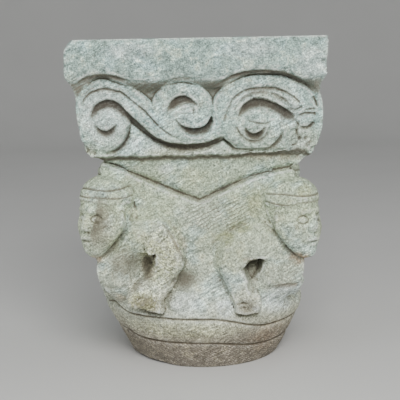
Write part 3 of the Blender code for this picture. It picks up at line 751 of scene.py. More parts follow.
def carve_figures(local, dirt_and_shade, side, front, face, own):
    """Cut the cloth's edge and the lines of the figures, sink the panel and the soft hollows, and paint shade
    into them.
    """
    part = np.flatnonzero(front & (local[:, 2] > FIGURES[0]) & (local[:, 2] < FIGURES[1]))
    x, z, own = local[part, 0], local[part, 2], own[part]
    up = z - cloth_lift(x, z, side)
    cut, soil_and_shade = cut_lines(x, up, BODY_LINES)
    edge_cut, edge_soil = cut_lines(x, up, CLOTH_LINES, turned=True)
    cut, soil_and_shade = np.maximum(cut, edge_cut), np.maximum(soil_and_shade, CLOTH_SHADE_AND_DIRT * edge_soil)
    if side != 0:
        kept = 1.0 - SIDE_WEAR * smooth_step(*LOW_LINES, z)
        cut, soil_and_shade = cut * kept, soil_and_shade * kept
    fade = smooth_step(*CORNER_MARGIN, column(OUTLINE, 1, z) - np.abs(x))
    depth = cut + cloth_depth(x, up) * (face[part] & (z > PANEL_FOOT)) * fade
    for middle, height, half_width, half_height, sink, hollow_shade_and_dirt in HOLLOWS:
        share = smooth_step(1.0, 0.1, ellipse(x, z, middle, height, half_width, half_height))
        depth += sink * share
        # the hollows are painted darker: mostly shade, some dirt
        soil_and_shade = np.maximum(soil_and_shade, hollow_shade_and_dirt * share * (1.0 if side == 0 else SIDE_SHADE_AND_DIRT))
    local[part, 1] += depth * own
    dirt_and_shade[part] = np.maximum(dirt_and_shade[part], soil_and_shade * own)


def drill_pockets(local, dirt_and_shade, front, own):
    """Drill the pockets between the arms and the chests, and paint them darker the deeper they go."""
    x, z = local[:, 0], local[:, 2]
    for corners, top_depth, low_depth, wall in POCKETS:
        room = inside(x, z, corners)
        low_end, top_end = min(up for _, up in corners), max(up for _, up in corners)
        depth = low_depth + (top_depth - low_depth) * smooth_step(low_end, top_end, z)
        bottom = -ARM_FACE + depth * smooth_step(0.0, wall, room)
        drilled = front & (room > 0.0) & (own > 0.5) & (bottom > local[:, 1])
        local[drilled, 1] = bottom[drilled]
        # the deeper a pocket, the darker its painted shade
        dirt_and_shade[drilled] = np.maximum(dirt_and_shade[drilled], (depth / POCKET_SHADE_DEPTH * smooth_step(0.5, 4.0, room))[drilled])


def carve_side(points, dirt_and_shade, side):
    """Press one side's carving straight in, and note its dirt and painted shade."""
    turn = np.array(quarter_turn(side).to_3x3())
    local = points @ turn / MM
    reach = column(OUTLINE, 1, local[:, 2])
    front = (local[:, 1] < -0.5 * reach) & (np.abs(local[:, 0]) < reach + 6)
    face = front & (local[:, 1] < -reach + FACE_SKIN)
    own = smooth_step(-4.0, 4.0, -local[:, 1] - np.abs(local[:, 0]))  # 0 past the corners, 1 on this side
    carve_frieze(local, dirt_and_shade, side, face, own)
    carve_figures(local, dirt_and_shade, side, front, face, own)
    drill_pockets(local, dirt_and_shade, front, own)
    points[:] = local @ turn.T * MM


points = read_points(stone.data)
dirt_and_shade = np.zeros(len(points))
points[:, 2] += (ledge_climb(points) + slab_sag(points)) * MM
for side in range(4):
    carve_side(points, dirt_and_shade, side)
print(f"carved; {100 * (dirt_and_shade > 0.5).mean():.1f} % of the points hold dirt")

# %% [markdown]
# ## Faces and hair
#
# A face is carved in the head's own frame. The sockets are pressed in, and in each of them an eyeball is
# left standing between two lids. The mouth is one line with a shallow hollow under it. The hair lies on the
# skull like a cap: it stands a little proud of the brow, and long lines run round it. The grooves of the
# ears are drawn from the side.

# %% Carve the faces
EYE_ACROSS, EYE_UP = 14.2, 0.5
SOCKET, EYEBALL = (12.5, 8.5, 3.4), (8.0, 4.6, 2.8)  # half width, half height, depth or height
LIDS = [
    [(6.2, -1.2, 1.0, 0.6), (9.5, 3.6, 1.0, 1.5), (14.2, 5.6, 1.0, 1.8), (19, 3.8, 1.0, 1.5),
     (22.8, -0.4, 1.0, 0.6)],
    [(6.2, -1.2, 1.0, 0.6), (10, -4.2, 1.0, 1.0), (14.5, -5.2, 1.0, 1.2), (19, -4, 1.0, 1.0),
     (22.8, -0.4, 1.0, 0.6)],
]
MOUTH = [
    [(-11, -30.4, 1.0, 1.0), (-6, -29.6, 1.1, 2.4), (0, -30, 1.2, 2.8), (6, -29.6, 1.1, 2.4),
     (11, -30.4, 1.0, 1.0)],
    [(-7, -37, 1.8, 0.6), (0, -38.2, 2.2, 1.6), (7, -37, 1.8, 0.6)],
]
NOSTRILS = [[(hand * 7.8, -10.5, 1.0, 1.2), (hand * 7.2, -15.5, 1.0, 1.4), (hand * 3.5, -18, 1.1, 1.6)]
            for hand in (-1, 1)]
FACE_LINES = LIDS + [[(-x, z, half, depth) for x, z, half, depth in lid] for lid in LIDS] + MOUTH + NOSTRILS
EAR_LINES = [
    [(-13, -4, 1.0, 1.0), (-13.5, 5, 1.2, 2.2), (-9, 10.5, 1.2, 2.4), (-4, 7, 1.3, 2.6),
     (-3.5, -1, 1.3, 2.4), (-6.5, -8.5, 1.1, 1.6)],
]
HAIRLINE = [(0, 25), (35, 24), (52, 17), (62, 4), (68, -8), (80, -8), (86, 12), (98, 4), (110, -30)]
HAIR_RISE = 1.5  # mm that the hair stands proud
HAIR_LINES = [(39, 28, 17), (33, 21, 12), (40, 30, 19), (36, 26, 16)]  # height of the lines on each head
HAIR_HALF, HAIR_CUT = 1.2, 1.7  # half breadth and depth of a line, mm
HEAD_REACH = 72.0  # mm from a head's middle that its carving may touch


def carve_head(points, dirt_and_shade, corner):
    """Carve one head: face, hair and ears."""
    turn = head_turn(corner)
    rows = np.array(turn.to_3x3())
    local = (points - np.array(turn.translation)) @ rows / MM
    part = np.flatnonzero((np.linalg.norm(local, axis=1) < HEAD_REACH) & (local[:, 1] < 16.0))
    head = local[part]
    x, y, z = head.T
    bearing = np.degrees(np.arctan2(np.abs(x), -y))
    on_head = smooth_step(-54.0, -48.0, z)

    fore = smooth_step(-24.0, -30.0, y) * (np.abs(x) < 30)
    cut, left = cut_lines(x, z, FACE_LINES)
    socket = ellipse(np.abs(x), z, EYE_ACROSS, EYE_UP, SOCKET[0], SOCKET[1])
    eyeball = ellipse(np.abs(x), z, EYE_ACROSS, EYE_UP, EYEBALL[0], EYEBALL[1])
    cut += SOCKET[2] * smooth_step(1.1, 0.35, socket)
    cut -= EYEBALL[2] * np.sqrt(np.maximum(1.0 - eyeball**2, 0.0))
    head[:, 1] += cut * fore
    soil_and_shade = left * fore

    beside = smooth_step(27.0, 31.0, np.abs(x)) * (np.abs(z) < 18)
    cut, left = cut_lines(y, z, EAR_LINES)
    head[:, 0] -= np.sign(x) * cut * beside
    soil_and_shade = np.maximum(soil_and_shade, left * beside)

    edge = np.interp(bearing, [row[0] for row in HAIRLINE], [row[1] for row in HAIRLINE])
    hair = smooth_step(-1.2, 1.2, z - edge) * on_head * (beside < 0.5)
    lines = np.zeros(len(head))
    for height in HAIR_LINES[corner]:
        wave = height + 1.2 * np.sin(np.radians(3.0 * bearing + 40.0 * height))
        lines = np.maximum(lines, 0.5 ** ((np.abs(z - wave) / HAIR_HALF) ** 2))
    lines *= smooth_step(edge, edge + 3.0, z)
    outwards = head / np.linalg.norm(head, axis=1)[:, None]
    head += outwards * ((HAIR_RISE - HAIR_CUT * lines) * hair)[:, None]
    # a darker line painted just under the hair's edge, where it stands proud: shade and dirt
    rim = 0.6 * np.exp(-((z - edge + 1.0) / 1.4) ** 2) * (bearing < 70)
    soil_and_shade = np.maximum(soil_and_shade, np.maximum(0.8 * lines * hair, rim))

    points[part] = head @ rows.T * MM + np.array(turn.translation)
    dirt_and_shade[part] = np.maximum(dirt_and_shade[part], soil_and_shade)


for corner in range(4):
    carve_head(points, dirt_and_shade, corner)
print("heads carved")

# %% [markdown]
# ## Lines round the neck
#
# Two lines run round the neck. They were cut by eye, so they sink towards one side and climb at the other. A
# line that runs round is easiest to place by its bearing from the front.

# %% Cut the neck's lines
NECK_LINES = [(79.5, 19.0, 10.0), (40.5, 10.0, 8.0)]  # height, sink on the right, rise on the left, in mm
NECK_HALF, NECK_CUT = 1.5, 2.8  # half breadth and depth, mm


def carve_neck(points, dirt_and_shade):
    """Cut the two lines that run round the neck."""
    bearing = np.degrees(np.arctan2(points[:, 0], -points[:, 1]))
    reach = np.hypot(points[:, 0], points[:, 1])
    sag = smooth_step(3, 42, bearing) * smooth_step(170, 110, bearing)
    climb = smooth_step(-40, -62, bearing) * smooth_step(-150, -100, bearing)
    for height, sink, rise in NECK_LINES:
        line = height - sink * sag + rise * climb
        cut = 0.5 ** ((np.abs(points[:, 2] / MM - line) / NECK_HALF) ** 2)
        below = smooth_step(-9.0, 0.0, points[:, 2] / MM - line) * (points[:, 2] / MM < line)
        push = NECK_CUT * cut + 0.8 * below
        points[:, :2] *= (1.0 - push * MM / reach)[:, None]
        np.maximum(dirt_and_shade, 0.9 * cut, out=dirt_and_shade)


carve_neck(points, dirt_and_shade)
print("neck lines cut")

# %% [markdown]
# ## Breaks and wear
#
# Two corners of the slab are broken off, which is a flat cut: whatever lies past a plane is pressed back onto
# it. Smaller losses are dents, where the points near a place sink a little. To wear the rest, the script has
# to know where the edges are. It smooths a copy of the skin and looks how far each point stands out of the
# copy: a point on an edge stands out, and a point in a crevice lies behind. Edges are then chipped where a
# noise says so, and more noise moves every point a little along its normal. Coarse noise makes the faces wave
# as hand-cut stone does, and finer noise pits the places that have weathered most, such as the left arm.

# %% Break the corners and wear the surface
TOP = HEIGHT / MM
EDGE = HALF_WIDTH / MM
BREAKS = [  # a corner, the direction in which its piece broke off, and how deep, in mm
    ((-EDGE, -EDGE, TOP), (-1.0, -0.15, 1.0), 9.0), ((EDGE, -EDGE, TOP), (1.0, -0.5, 0.8), 5.0),
]
DENTS = [  # place, reach and depth in mm
    ((163, -168, 398), 9, 3.0), ((171, -171, 425), 7, 1.6), ((-171, -171, 410), 6, 1.5),
    ((147, -150, 322), 12, 2.0), ((152, -156, 340), 8, 1.5), ((60, -171, 460), 9, 1.0),
    ((-60, -171, 460), 8, 1.0), ((-154, -155, 318), 8, 5.0), ((-90, -55, 2), 26, 3.5),
    ((-60, -88, 0), 22, 3.0),
]
BLUNT_REACH, SHARP_REACH = 7.0, 2.6  # mm over which the copy is smoothed
CHIP_SIZE, CHIP_DEPTH, LEDGE_CHIP = 13.0, 1.7, 3.2  # mm
LEDGE = 309.0  # height of the ledge's edge, mm
WAVES = [(30, 1, 2, 0.60), (10, 2, 3, 0.36), (4, 3, 2, 0.18)]  # size in mm, seed, octaves, height in mm
PITTING = (6.5, 4, 3, 1.3)  # the same for the weathered places
WEATHERED = [  # rough places: middle, height, half sizes and share
    (-52, 172, 34, 48, 1.0), (-70, 116, 42, 34, 1.0), (62, 98, 24, 26, 0.8), (-20, 312, 60, 9, 0.8),
    (88, 362, 66, 44, 0.4), (-120, 361, 36, 45, 0.3), (-20, 369, 40, 34, 0.3), (-48, 60, 44, 13, 0.6),
    (24, 64, 44, 13, 0.5), (140, 325, 22, 24, 0.6), (-146, 316, 14, 10, 0.6), (-130, 210, 26, 30, 0.5),
]
TOOLED = [  # the same for open chisel strokes
    (24, 222, 66, 34, 1.0), (-148, 400, 26, 14, 1.0), (-62, 396, 34, 13, 0.9), (30, 398, 26, 12, 0.9),
    (118, 145, 34, 22, 0.7), (-100, 440, 60, 20, 0.5), (60, 440, 90, 16, 0.4),
]


def knock_off(points, corner, outwards, depth):
    """Break a corner away: what lies past a plane is pressed back onto it."""
    normal = np.array(Vector(outwards).normalized())
    past = (points - np.array(corner) * MM) @ normal + depth * MM
    points -= np.maximum(past, 0.0)[:, None] * normal[None, :]


def normals_of(mesh):
    """The direction each point of a mesh faces."""
    rows = np.empty(len(mesh.vertices) * 3)
    mesh.vertex_normals.foreach_get("vector", rows)
    return rows.reshape(-1, 3)


def standing_out(mesh, reach):
    """How far each point stands out of a smoothed copy of its mesh, in mm."""
    pairs = np.empty(len(mesh.edges) * 2, np.int32)
    mesh.edges.foreach_get("vertices", pairs)
    one, other = pairs.reshape(-1, 2).T
    count = np.bincount(pairs, minlength=len(mesh.vertices))
    points = read_points(mesh)
    smooth = points.copy()
    for _ in range(max(1, round((reach * MM / CELL) ** 2))):
        for axis in range(3):
            total = np.bincount(one, smooth[other, axis], len(count))
            total += np.bincount(other, smooth[one, axis], len(count))
            smooth[:, axis] = total / count
    return ((points - smooth) * normals_of(mesh)).sum(axis=1) / MM


def ripple(points, size, seed, octaves, height=1.0):
    """Noise at each point, roughly from -height to height, with bumps of a size in mm."""
    spots = points / (size * MM) + np.array([17.3, -9.1, 5.7]) * seed
    return height * np.array([noise.fractal(spot, 1.0, 2.0, octaves) for spot in spots])


def patch(x, z, middle, height, half_width, half_height):
    """1 in the middle of a patch and 0 outside it, with a soft rim."""
    return smooth_step(1.15, 0.5, ellipse(x, z, middle, height, half_width, half_height))


for corner, outwards, depth in BREAKS:
    knock_off(points, corner, outwards, depth)
write_points(stone.data, points)
soften(stone, 0.3, 1)
points, facing = read_points(stone.data), normals_of(stone.data)
for place, reach, depth in DENTS:
    gap = np.linalg.norm(points - np.array(place) * MM, axis=1) / (reach * MM)
    points -= facing * (depth * MM * np.exp(-gap**2))[:, None]
write_points(stone.data, points)

x, z = points[:, 0] / MM, points[:, 2] / MM
front = smooth_step(-60, -95, points[:, 1] / MM)
edges = smooth_step(0.35, 1.3, standing_out(stone.data, BLUNT_REACH))
ledge = smooth_step(8.0, 3.0, np.abs(z - LEDGE))
chips = smooth_step(0.0, 0.45, ripple(points, CHIP_SIZE, 6, 3)) * edges
chips *= CHIP_DEPTH + (LEDGE_CHIP - CHIP_DEPTH) * ledge
weathered = sum(share * patch(x, z, *place) for *place, share in WEATHERED) * front
tooled = sum(share * patch(x, z, *place) for *place, share in TOOLED) * front
relief = sum(ripple(points, *wave) for wave in WAVES) + weathered * ripple(points, *PITTING) - chips
flat_bed = smooth_step(0.0, 3.0, z) * smooth_step(TOP, TOP - 3.0, z)
points += facing * (relief * flat_bed * MM)[:, None]
write_points(stone.data, points)
print(f"worn: relief from {relief.min():.1f} to {relief.max():.1f} mm")

# %% [markdown]
# ## What the colour needs to know
#
# Old stone is dark where dirt settles and pale where hands and rain rub it. Here the colour is also darker
# where shade falls, in creases, under the ledge and in the pockets, and paler on edges that catch the light:
# that is painted shade and painted highlight. All of it follows the shape, so it is measured on the fine skin
# and stored on its points as attributes, which the material reads later. Rust, lime crusts and a little algae
# sit in a few known places, and some of those patches are painted light and shade: a brown shade under the
# chins, the torso and the ledge, a green shade along the right upper arm, and a pool of light on the right of
# the base. The rough skin of the left arm and the chisel strokes beside the right one sit in known places
# too, and they are stored as well. All of it is stored before the mesh is thinned, because the thinning
# carries the attributes along.

# %% Store dirt and painted shade, edges and painted highlights, and stains
LEDGE_SHADOW_AND_DIRT = (302.0, 7.0, 0.9)  # height and half breadth in mm of the place under the ledge, and how dark its painted shadow and dirt are
# creases and crevices are painted darker: the shade that falls in them, and dirt
CREVICE_SHADE_AND_DIRT = 0.65
CREVICE, WORN_EDGE_AND_HIGHLIGHT = (0.15, 0.9), (0.12, 0.75)  # mm behind or out of the smoothed copy
STAINS = {  # by name: middle, height, half sizes and share
    # the rust patches under the chins, at 123 mm and at 300 mm paint a brown shade under the chins, the torso
    # and the ledge
    "rust_and_brown_shade": [
        (133, 163, 16, 11, 1.0), (-142, 166, 10, 9, 0.8), (-26, 184, 9, 12, 0.25), (104, 40, 44, 30, 0.4),
        (-78, 103, 26, 16, 0.75), (68, 162, 13, 5, 0.6), (120, 123, 24, 5, 0.6), (-120, 104, 20, 14, 0.5),
        (100, 300, 60, 6, 0.4),
    ],
    # the lime patch at 118 mm across and 100 mm up paints light onto the right of the base
    "lime_and_painted_light": [
        (-22, 102, 26, 20, 0.7), (34, 94, 16, 14, 0.9), (-44, 286, 12, 8, 0.7), (-85, 445, 36, 12, 0.6),
        (70, 445, 40, 14, 0.5), (-124, 360, 36, 44, 0.6), (74, 96, 6, 5, 1.0), (118, 100, 40, 26, 1.0),
        (-136, 116, 14, 10, 0.7), (-72, 322, 40, 12, 0.6), (132, 318, 20, 14, 0.3), (0, 225, 40, 30, 0.3),
        (150, 425, 24, 26, 0.5),
    ],
    # the first two algae patches paint a green shade along the right upper arm's edge
    "algae_and_green_shade": [
        (34, 191, 15, 9, 0.9), (54, 204, 17, 8, 1.0), (-78, 106, 26, 18, 1.0), (140, 256, 12, 10, 0.8),
        (76, 236, 12, 22, 0.8), (-56, 165, 30, 46, 0.7), (-102, 188, 26, 20, 0.6), (-30, 62, 90, 16, 0.4),
        (40, 165, 24, 30, 0.4), (-20, 275, 60, 18, 0.3),
    ],
}


def store(mesh, name, values):
    """Keep one number for each point of a mesh."""
    layer = mesh.attributes.new(name, "FLOAT", "POINT")
    layer.data.foreach_set("value", np.clip(values, 0.0, 1.0).astype(np.float32))


x, y, z = points.T / MM
facing = normals_of(stone.data)
out = standing_out(stone.data, SHARP_REACH)
wide = standing_out(stone.data, BLUNT_REACH)
crevice = smooth_step(*CREVICE, -out) + 0.5 * smooth_step(0.3, 2.5, -wide)
height, half, amount = LEDGE_SHADOW_AND_DIRT
# a painted shadow under the ledge, strongest on surfaces that face down, with some dirt
ledge_shadow = amount * smooth_step(half, 0.0, np.abs(z - ledge_climb(points) - height))
ledge_shadow *= smooth_step(0.25, -0.35, facing[:, 2])
dirt_and_shade = np.maximum(np.maximum(dirt_and_shade, CREVICE_SHADE_AND_DIRT * crevice), ledge_shadow)
store(stone.data, "dirt_and_shade", dirt_and_shade)
# edges that stand out are painted paler: rubbed wear and a painted highlight
store(stone.data, "edge", smooth_step(*WORN_EDGE_AND_HIGHLIGHT, out) * (1.0 - dirt_and_shade))
for name, places in STAINS.items():
    store(stone.data, name, sum(amount * patch(x, z, *place) for *place, amount in places) * front)
store(stone.data, "rough", weathered)
store(stone.data, "tooled", tooled)
print("stored:", [layer.name for layer in stone.data.attributes if layer.data_type == "FLOAT"])

# %% [markdown]
# ## Thin the mesh
#
# The skin now has over a million triangles, most of them on faces that are nearly flat. The Decimate modifier
# in collapse mode takes away the least needed ones first. It runs twice: once on everything but the front,
# which a vertex group shields, and then on the whole stone. So the front keeps more, as its carving is the
# finest.

# %% Thin the mesh
TRIANGLES, OTHER_SIDES = 196000, 105000  # in all, and left on the other sides by the first round


def count_triangles(mesh):
    """Triangles that a mesh would have if its faces were split."""
    mesh.calc_loop_triangles()
    return len(mesh.loop_triangles)


def thin(obj, wanted, group=""):
    """Collapse edges until a mesh has the wanted number of triangles."""
    fewer = obj.modifiers.new("fewer faces", "DECIMATE")
    fewer.ratio = min(1.0, wanted / count_triangles(obj.data))
    fewer.vertex_group = group
    apply_modifiers(obj)
    print("thinned to", count_triangles(obj.data), "triangles")


shielded = (y < -60) & (z > 60) & (z < 418)
beside = stone.vertex_groups.new(name="other_sides")
beside.add(np.flatnonzero(~shielded).tolist(), 1.0, "REPLACE")
thin(stone, 2 * int(shielded.sum()) + OTHER_SIDES, "other_sides")
stone.vertex_groups.clear()
thin(stone, TRIANGLES)
stone.data.shade_smooth()
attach(stone, "root")
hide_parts("capital")

# %% [markdown]
# ## Writing a material as sums
#
# A procedural material is a small piece of arithmetic: so much of this colour, times that noise, less the
# dirt. It reads best when it is written as arithmetic. The class below wraps one output of a node, so that
# plus, minus and times add the Math nodes by themselves. A second class makes every other node, and mixes
# colours, which a Math node would turn grey.

# %% Helpers for materials
class Wire:
    """One number that changes over the surface."""

    def __init__(self, recipe, socket):
        self.recipe, self.socket = recipe, socket

    def maths(self, operation, first, second):
        return self.recipe.node("Math", {"operation": operation}, {0: first, 1: second})

    def __add__(self, other):
        return self.maths("ADD", self, other)

    def __radd__(self, other):
        return self.maths("ADD", other, self)

    def __sub__(self, other):
        return self.maths("SUBTRACT", self, other)

    def __rsub__(self, other):
        return self.maths("SUBTRACT", other, self)

    def __mul__(self, other):
        return self.maths("MULTIPLY", self, other)

    def __rmul__(self, other):
        return self.maths("MULTIPLY", other, self)


class Recipe:
    """The nodes of one material."""

    def __init__(self, name):
        self.material = bpy.data.materials.new(name)
        self.material.use_nodes = True
        self.tree = self.material.node_tree
        self.surface = self.tree.nodes["Principled BSDF"]

    def node(self, kind, settings, inputs, output=0):
        """Add a node: first its settings, then the values or wires of its sockets."""
        added = self.tree.nodes.new("ShaderNode" + kind)
        stops = settings.pop("stops", None)
        for name, value in settings.items():
            setattr(added, name, value)
        if stops:
            elements = added.color_ramp.elements
            for position, colour in stops[2:]:
                elements.new(position)
            for element, (position, colour) in zip(elements, stops):
                element.position, element.color = position, colour
        for name, value in inputs.items():
            self.feed(added.inputs[name], value)
        return Wire(self, added.outputs[output])

    def feed(self, socket, value):
        """Set a socket to a value, or link a wire to it."""
        if isinstance(value, Wire):
            self.tree.links.new(value.socket, socket)
        else:
            socket.default_value = value

    def mix(self, share, first, second, blend="MIX"):
        """Mix two colours; the numbers are the places of the Mix node's colour sockets."""
        settings = {"data_type": "RGBA", "blend_type": blend}
        return self.node("Mix", settings, {0: share, 6: first, 7: second}, 2)

    def between(self, value, start, end):
        """0 at start, 1 at end, smooth between them, as smooth_step does for points."""
        return self.node("MapRange", {"interpolation_type": "SMOOTHSTEP"},
                         {"Value": value, "From Min": start, "From Max": end})

    def grain(self, place, size, detail=3.0, roughness=0.6, twist=0.0):
        """Noise from about 0.2 to 0.8 with a grain in mm."""
        return self.node("TexNoise", {}, {"Vector": place, "Scale": 1.0 / size, "Detail": detail,
                                          "Roughness": roughness, "Distortion": twist})

    def attribute(self, name):
        """A number stored on the points."""
        return self.node("Attribute", {"attribute_name": name}, {}, "Fac")


def paint(red, green, blue):
    """A colour from its everyday 0 to 255 numbers, made linear for the shader."""
    parts = [((part / 255 + 0.055) / 1.055) ** 2.4 for part in (red, green, blue)]
    return (*parts, 1.0)


print("material helpers ready")

# %% [markdown]
# ## Weathered limestone
#
# The stone is a fine grey-green limestone under centuries of weather. Its colour changes with the height: a
# cool grey on the slab, a warmer green-grey on the figures, and the bare brown stone on the neck, where the
# crust ends in a ragged line. On this ground come cloudy patches and the stored stains, a few of which paint
# light and shade. Then every noise lightens or darkens the stone a little: grains, specks and the slanting
# streaks of the chisel. Pale edges, partly rubbed and partly painted highlight, pits, cracks, dirt and
# painted shade in the hollows, and tool marks are laid over that. The same noises also feed a bump, so that
# each speck catches the light.

# %% Make the stone's material
CRUST_END = 52.0  # height where the crust ends, mm
HEIGHT_COLOURS = [  # share of the whole height, and the colour there
    (0.0, paint(140, 133, 122)), (0.085, paint(142, 135, 121)), (0.115, paint(160, 156, 139)),
    (0.15, paint(186, 188, 168)), (0.22, paint(190, 198, 181)), (0.32, paint(178, 187, 168)),
    (0.50, paint(177, 189, 161)), (0.64, paint(170, 185, 163)), (0.76, paint(158, 186, 179)),
    (0.9, paint(145, 165, 157)), (1.0, paint(148, 172, 164)),
]
# the dirt colours also paint shade in grooves, creases, pockets and hollows, and the pale one also paints
# highlights on edges
DIRT_AND_SHADE_TONE, DEEP_SHADE_AND_DIRT, PALE_FLECK_AND_HIGHLIGHT = paint(108, 100, 86), paint(54, 45, 37), paint(226, 231, 223)
COOL, WARM = paint(152, 180, 184), paint(182, 174, 140)
STAIN_TONES = {"rust_and_brown_shade": paint(150, 118, 88), "lime_and_painted_light": paint(206, 217, 216), "algae_and_green_shade": paint(158, 163, 120)}
CRUST_TONE = paint(190, 187, 160)
COOL_SHARE, WARM_SHARE, CRUST_SHARE, STAIN_SHARE = 0.45, 0.30, 0.45, 0.75  # how far each colour covers
WORN_EDGE_AND_HIGHLIGHT_SHARE, MOTTLE_SHARE, PIT_SHARE, CRACK_SHARE = 0.85, 0.20, 0.4, 0.5
DIRT_AND_SHADE_SHARE, DEEP_SHADE_SHARE, MARK_SHARE = 0.75, 0.80, 0.65
GRAIN_LIGHT, SPECK_LIGHT, STREAK_LIGHT, MOTTLE_LIGHT, PATCH_LIGHT, CLOUD_LIGHT = 1.6, 2.4, 1.4, 1.0, 1.0, 0.6
SLANT = math.radians(-28)  # of the chisel strokes
STRETCH = (5.0, 2.0, 1.0)  # of the streaks, along the stroke, into the stone and across
PIT_SPACING = 11.0  # mm
CRACK_SCALE = 0.019  # cloud sizes per mm
BUMP = 1.6 * MM

limestone = Recipe("weathered_limestone")
meters = limestone.node("TexCoord", {}, {}, "Object")
place = limestone.node("VectorMath", {"operation": "SCALE"}, {0: meters, "Scale": 1.0 / MM})
slanted = limestone.node("Mapping", {"vector_type": "TEXTURE"},
                         {"Vector": place, "Rotation": (0, SLANT, 0), "Scale": STRETCH})
across = limestone.node("SeparateXYZ", {}, {0: place}, "X")
up = limestone.node("SeparateXYZ", {}, {0: place}, "Z")
clouds = limestone.grain(place, 42.0, 3.0)
patches = limestone.grain(place, 14.0, 4.0, 0.65, 0.6)
mottle = limestone.grain(place, 6.0, 3.0, 0.65)
grains = limestone.grain(place, 3.2, 2.0, 0.7)
specks = limestone.grain(place, 1.8, 1.0, 0.5)
scratches = limestone.grain(slanted, 2.6, 3.0, 0.65)
soil_and_shade, rim, rough = (limestone.attribute(name) for name in ("dirt_and_shade", "edge", "rough"))

lifted = up + 26.0 * (clouds - 0.5) + 14.0 * (patches - 0.5)
colour = limestone.node("ValToRGB", {"stops": HEIGHT_COLOURS}, {0: lifted * (1.0 / TOP)})
crust = limestone.between(up, 60.0, 110.0)
colour = limestone.mix(limestone.between(clouds, 0.48, 0.66) * crust * COOL_SHARE, colour, COOL)
colour = limestone.mix(limestone.between(patches, 0.50, 0.70) * WARM_SHARE, colour, WARM)
colour = limestone.mix(rough * CRUST_SHARE, colour, CRUST_TONE)
for name, tone in STAIN_TONES.items():
    share = limestone.attribute(name) * limestone.between(patches, 0.22, 0.58)
    colour = limestone.mix(share * STAIN_SHARE, colour, tone)

slab = limestone.between(up, 380.0, 425.0)
light = GRAIN_LIGHT * (grains - 0.5) + (SPECK_LIGHT + 1.2 * rough) * (specks - 0.5)
streaks = (STREAK_LIGHT + 2.4 * limestone.between(clouds, 0.40, 0.62)) * (1.0 - 0.4 * slab)
light = light + streaks * (scratches - 0.5)
light = light + (MOTTLE_LIGHT + 1.4 * rough) * (mottle - 0.5)
light = light + (PATCH_LIGHT + 1.6 * slab) * (patches - 0.5) + CLOUD_LIGHT * (clouds - 0.5)
shade = limestone.node("Math", {"operation": "POWER"}, {0: math.e, 1: light})
colour = limestone.mix(1.0, colour, shade, "MULTIPLY")
flecks = limestone.between(grains, 0.60, 0.72) * (0.25 + 0.5 * rough)
# pale flecks, and edges painted paler as rubbed wear and painted highlight
colour = limestone.mix(flecks + rim * limestone.between(mottle, 0.3, 0.6) * WORN_EDGE_AND_HIGHLIGHT_SHARE, colour, PALE_FLECK_AND_HIGHLIGHT)
colour = limestone.mix(limestone.between(mottle, 0.42, 0.26) * MOTTLE_SHARE, colour, DIRT_AND_SHADE_TONE)

spread = {"Vector": place, "Scale": 1.0 / PIT_SPACING}
pits = limestone.node("TexVoronoi", {"feature": "F1"}, spread, "Distance")
pits = limestone.between(pits + 0.35 * (mottle - 0.5), 0.13, 0.05) * limestone.between(clouds, 0.40, 0.60)
seams = limestone.node("VectorMath", {"operation": "SCALE"}, {0: place, "Scale": CRACK_SCALE})
seams = limestone.node("TexNoise", {}, {"Vector": seams, "Scale": 1.0, "Detail": 5.0, "Roughness": 0.6})
cracks = limestone.between(seams, 0.494, 0.5) * limestone.between(seams, 0.506, 0.5)
cracks = cracks * limestone.between(patches, 0.5, 0.62)
colour = limestone.mix(pits * PIT_SHARE + cracks * CRACK_SHARE, colour, DIRT_AND_SHADE_TONE)
# dirt and painted shade from the stored attribute, darkest in pockets and deep grooves
colour = limestone.mix(limestone.between(soil_and_shade + 0.8 * (mottle - 0.5), 0.08, 0.75) * DIRT_AND_SHADE_SHARE, colour, DIRT_AND_SHADE_TONE)
deep_shade = limestone.between(soil_and_shade + 0.5 * (grains - 0.5), 0.5, 1.1)
colour = limestone.mix(deep_shade * DEEP_SHADE_SHARE, colour, DEEP_SHADE_AND_DIRT)

waves_down = (across * 0.55 + up * 0.84 + 6.0 * mottle) * 1.9
hatch = limestone.node("Math", {"operation": "SINE"}, {0: waves_down})
hatch = hatch * limestone.between(up + 20.0 * (clouds - 0.5), CRUST_END - 4.0, CRUST_END - 16.0)
waves_up = (up * 0.88 - across * 0.47 + 9.0 * patches) * 1.25
strokes = limestone.node("Math", {"operation": "SINE"}, {0: waves_up})
strokes = strokes * limestone.attribute("tooled") * limestone.between(scratches, 0.35, 0.55)
tool_marks = limestone.between(hatch + strokes, 0.1, 0.9)
colour = limestone.mix(tool_marks * MARK_SHARE, colour, DIRT_AND_SHADE_TONE)
height = (0.9 + 0.9 * rough) * mottle + 0.9 * grains + 0.6 * specks + 1.1 * scratches + 0.8 * patches
height = height - 0.35 * tool_marks - 0.3 * pits - 0.15 * cracks
bump = limestone.node("Bump", {}, {"Height": height, "Strength": 1.0, "Distance": BUMP}, "Normal")
limestone.feed(limestone.surface.inputs["Base Color"], colour)
limestone.feed(limestone.surface.inputs["Roughness"], 0.82 + 0.14 * mottle)
limestone.feed(limestone.surface.inputs["Normal"], bump)
limestone.surface.inputs["Specular IOR Level"].default_value = 0.3
stone.data.materials.clear()
stone.data.materials.append(limestone.material)
print("limestone:", len(limestone.tree.nodes), "nodes")

# %% [markdown]
# ## The studio
#
# In a studio the stone would stand on a sheet of pale paper that curves up behind it. So that every view has
# that backdrop, the sheet here is a wide shallow bowl: a profile with one round bend, spun round the axis. It
# is only staging and isn't part of the stone.

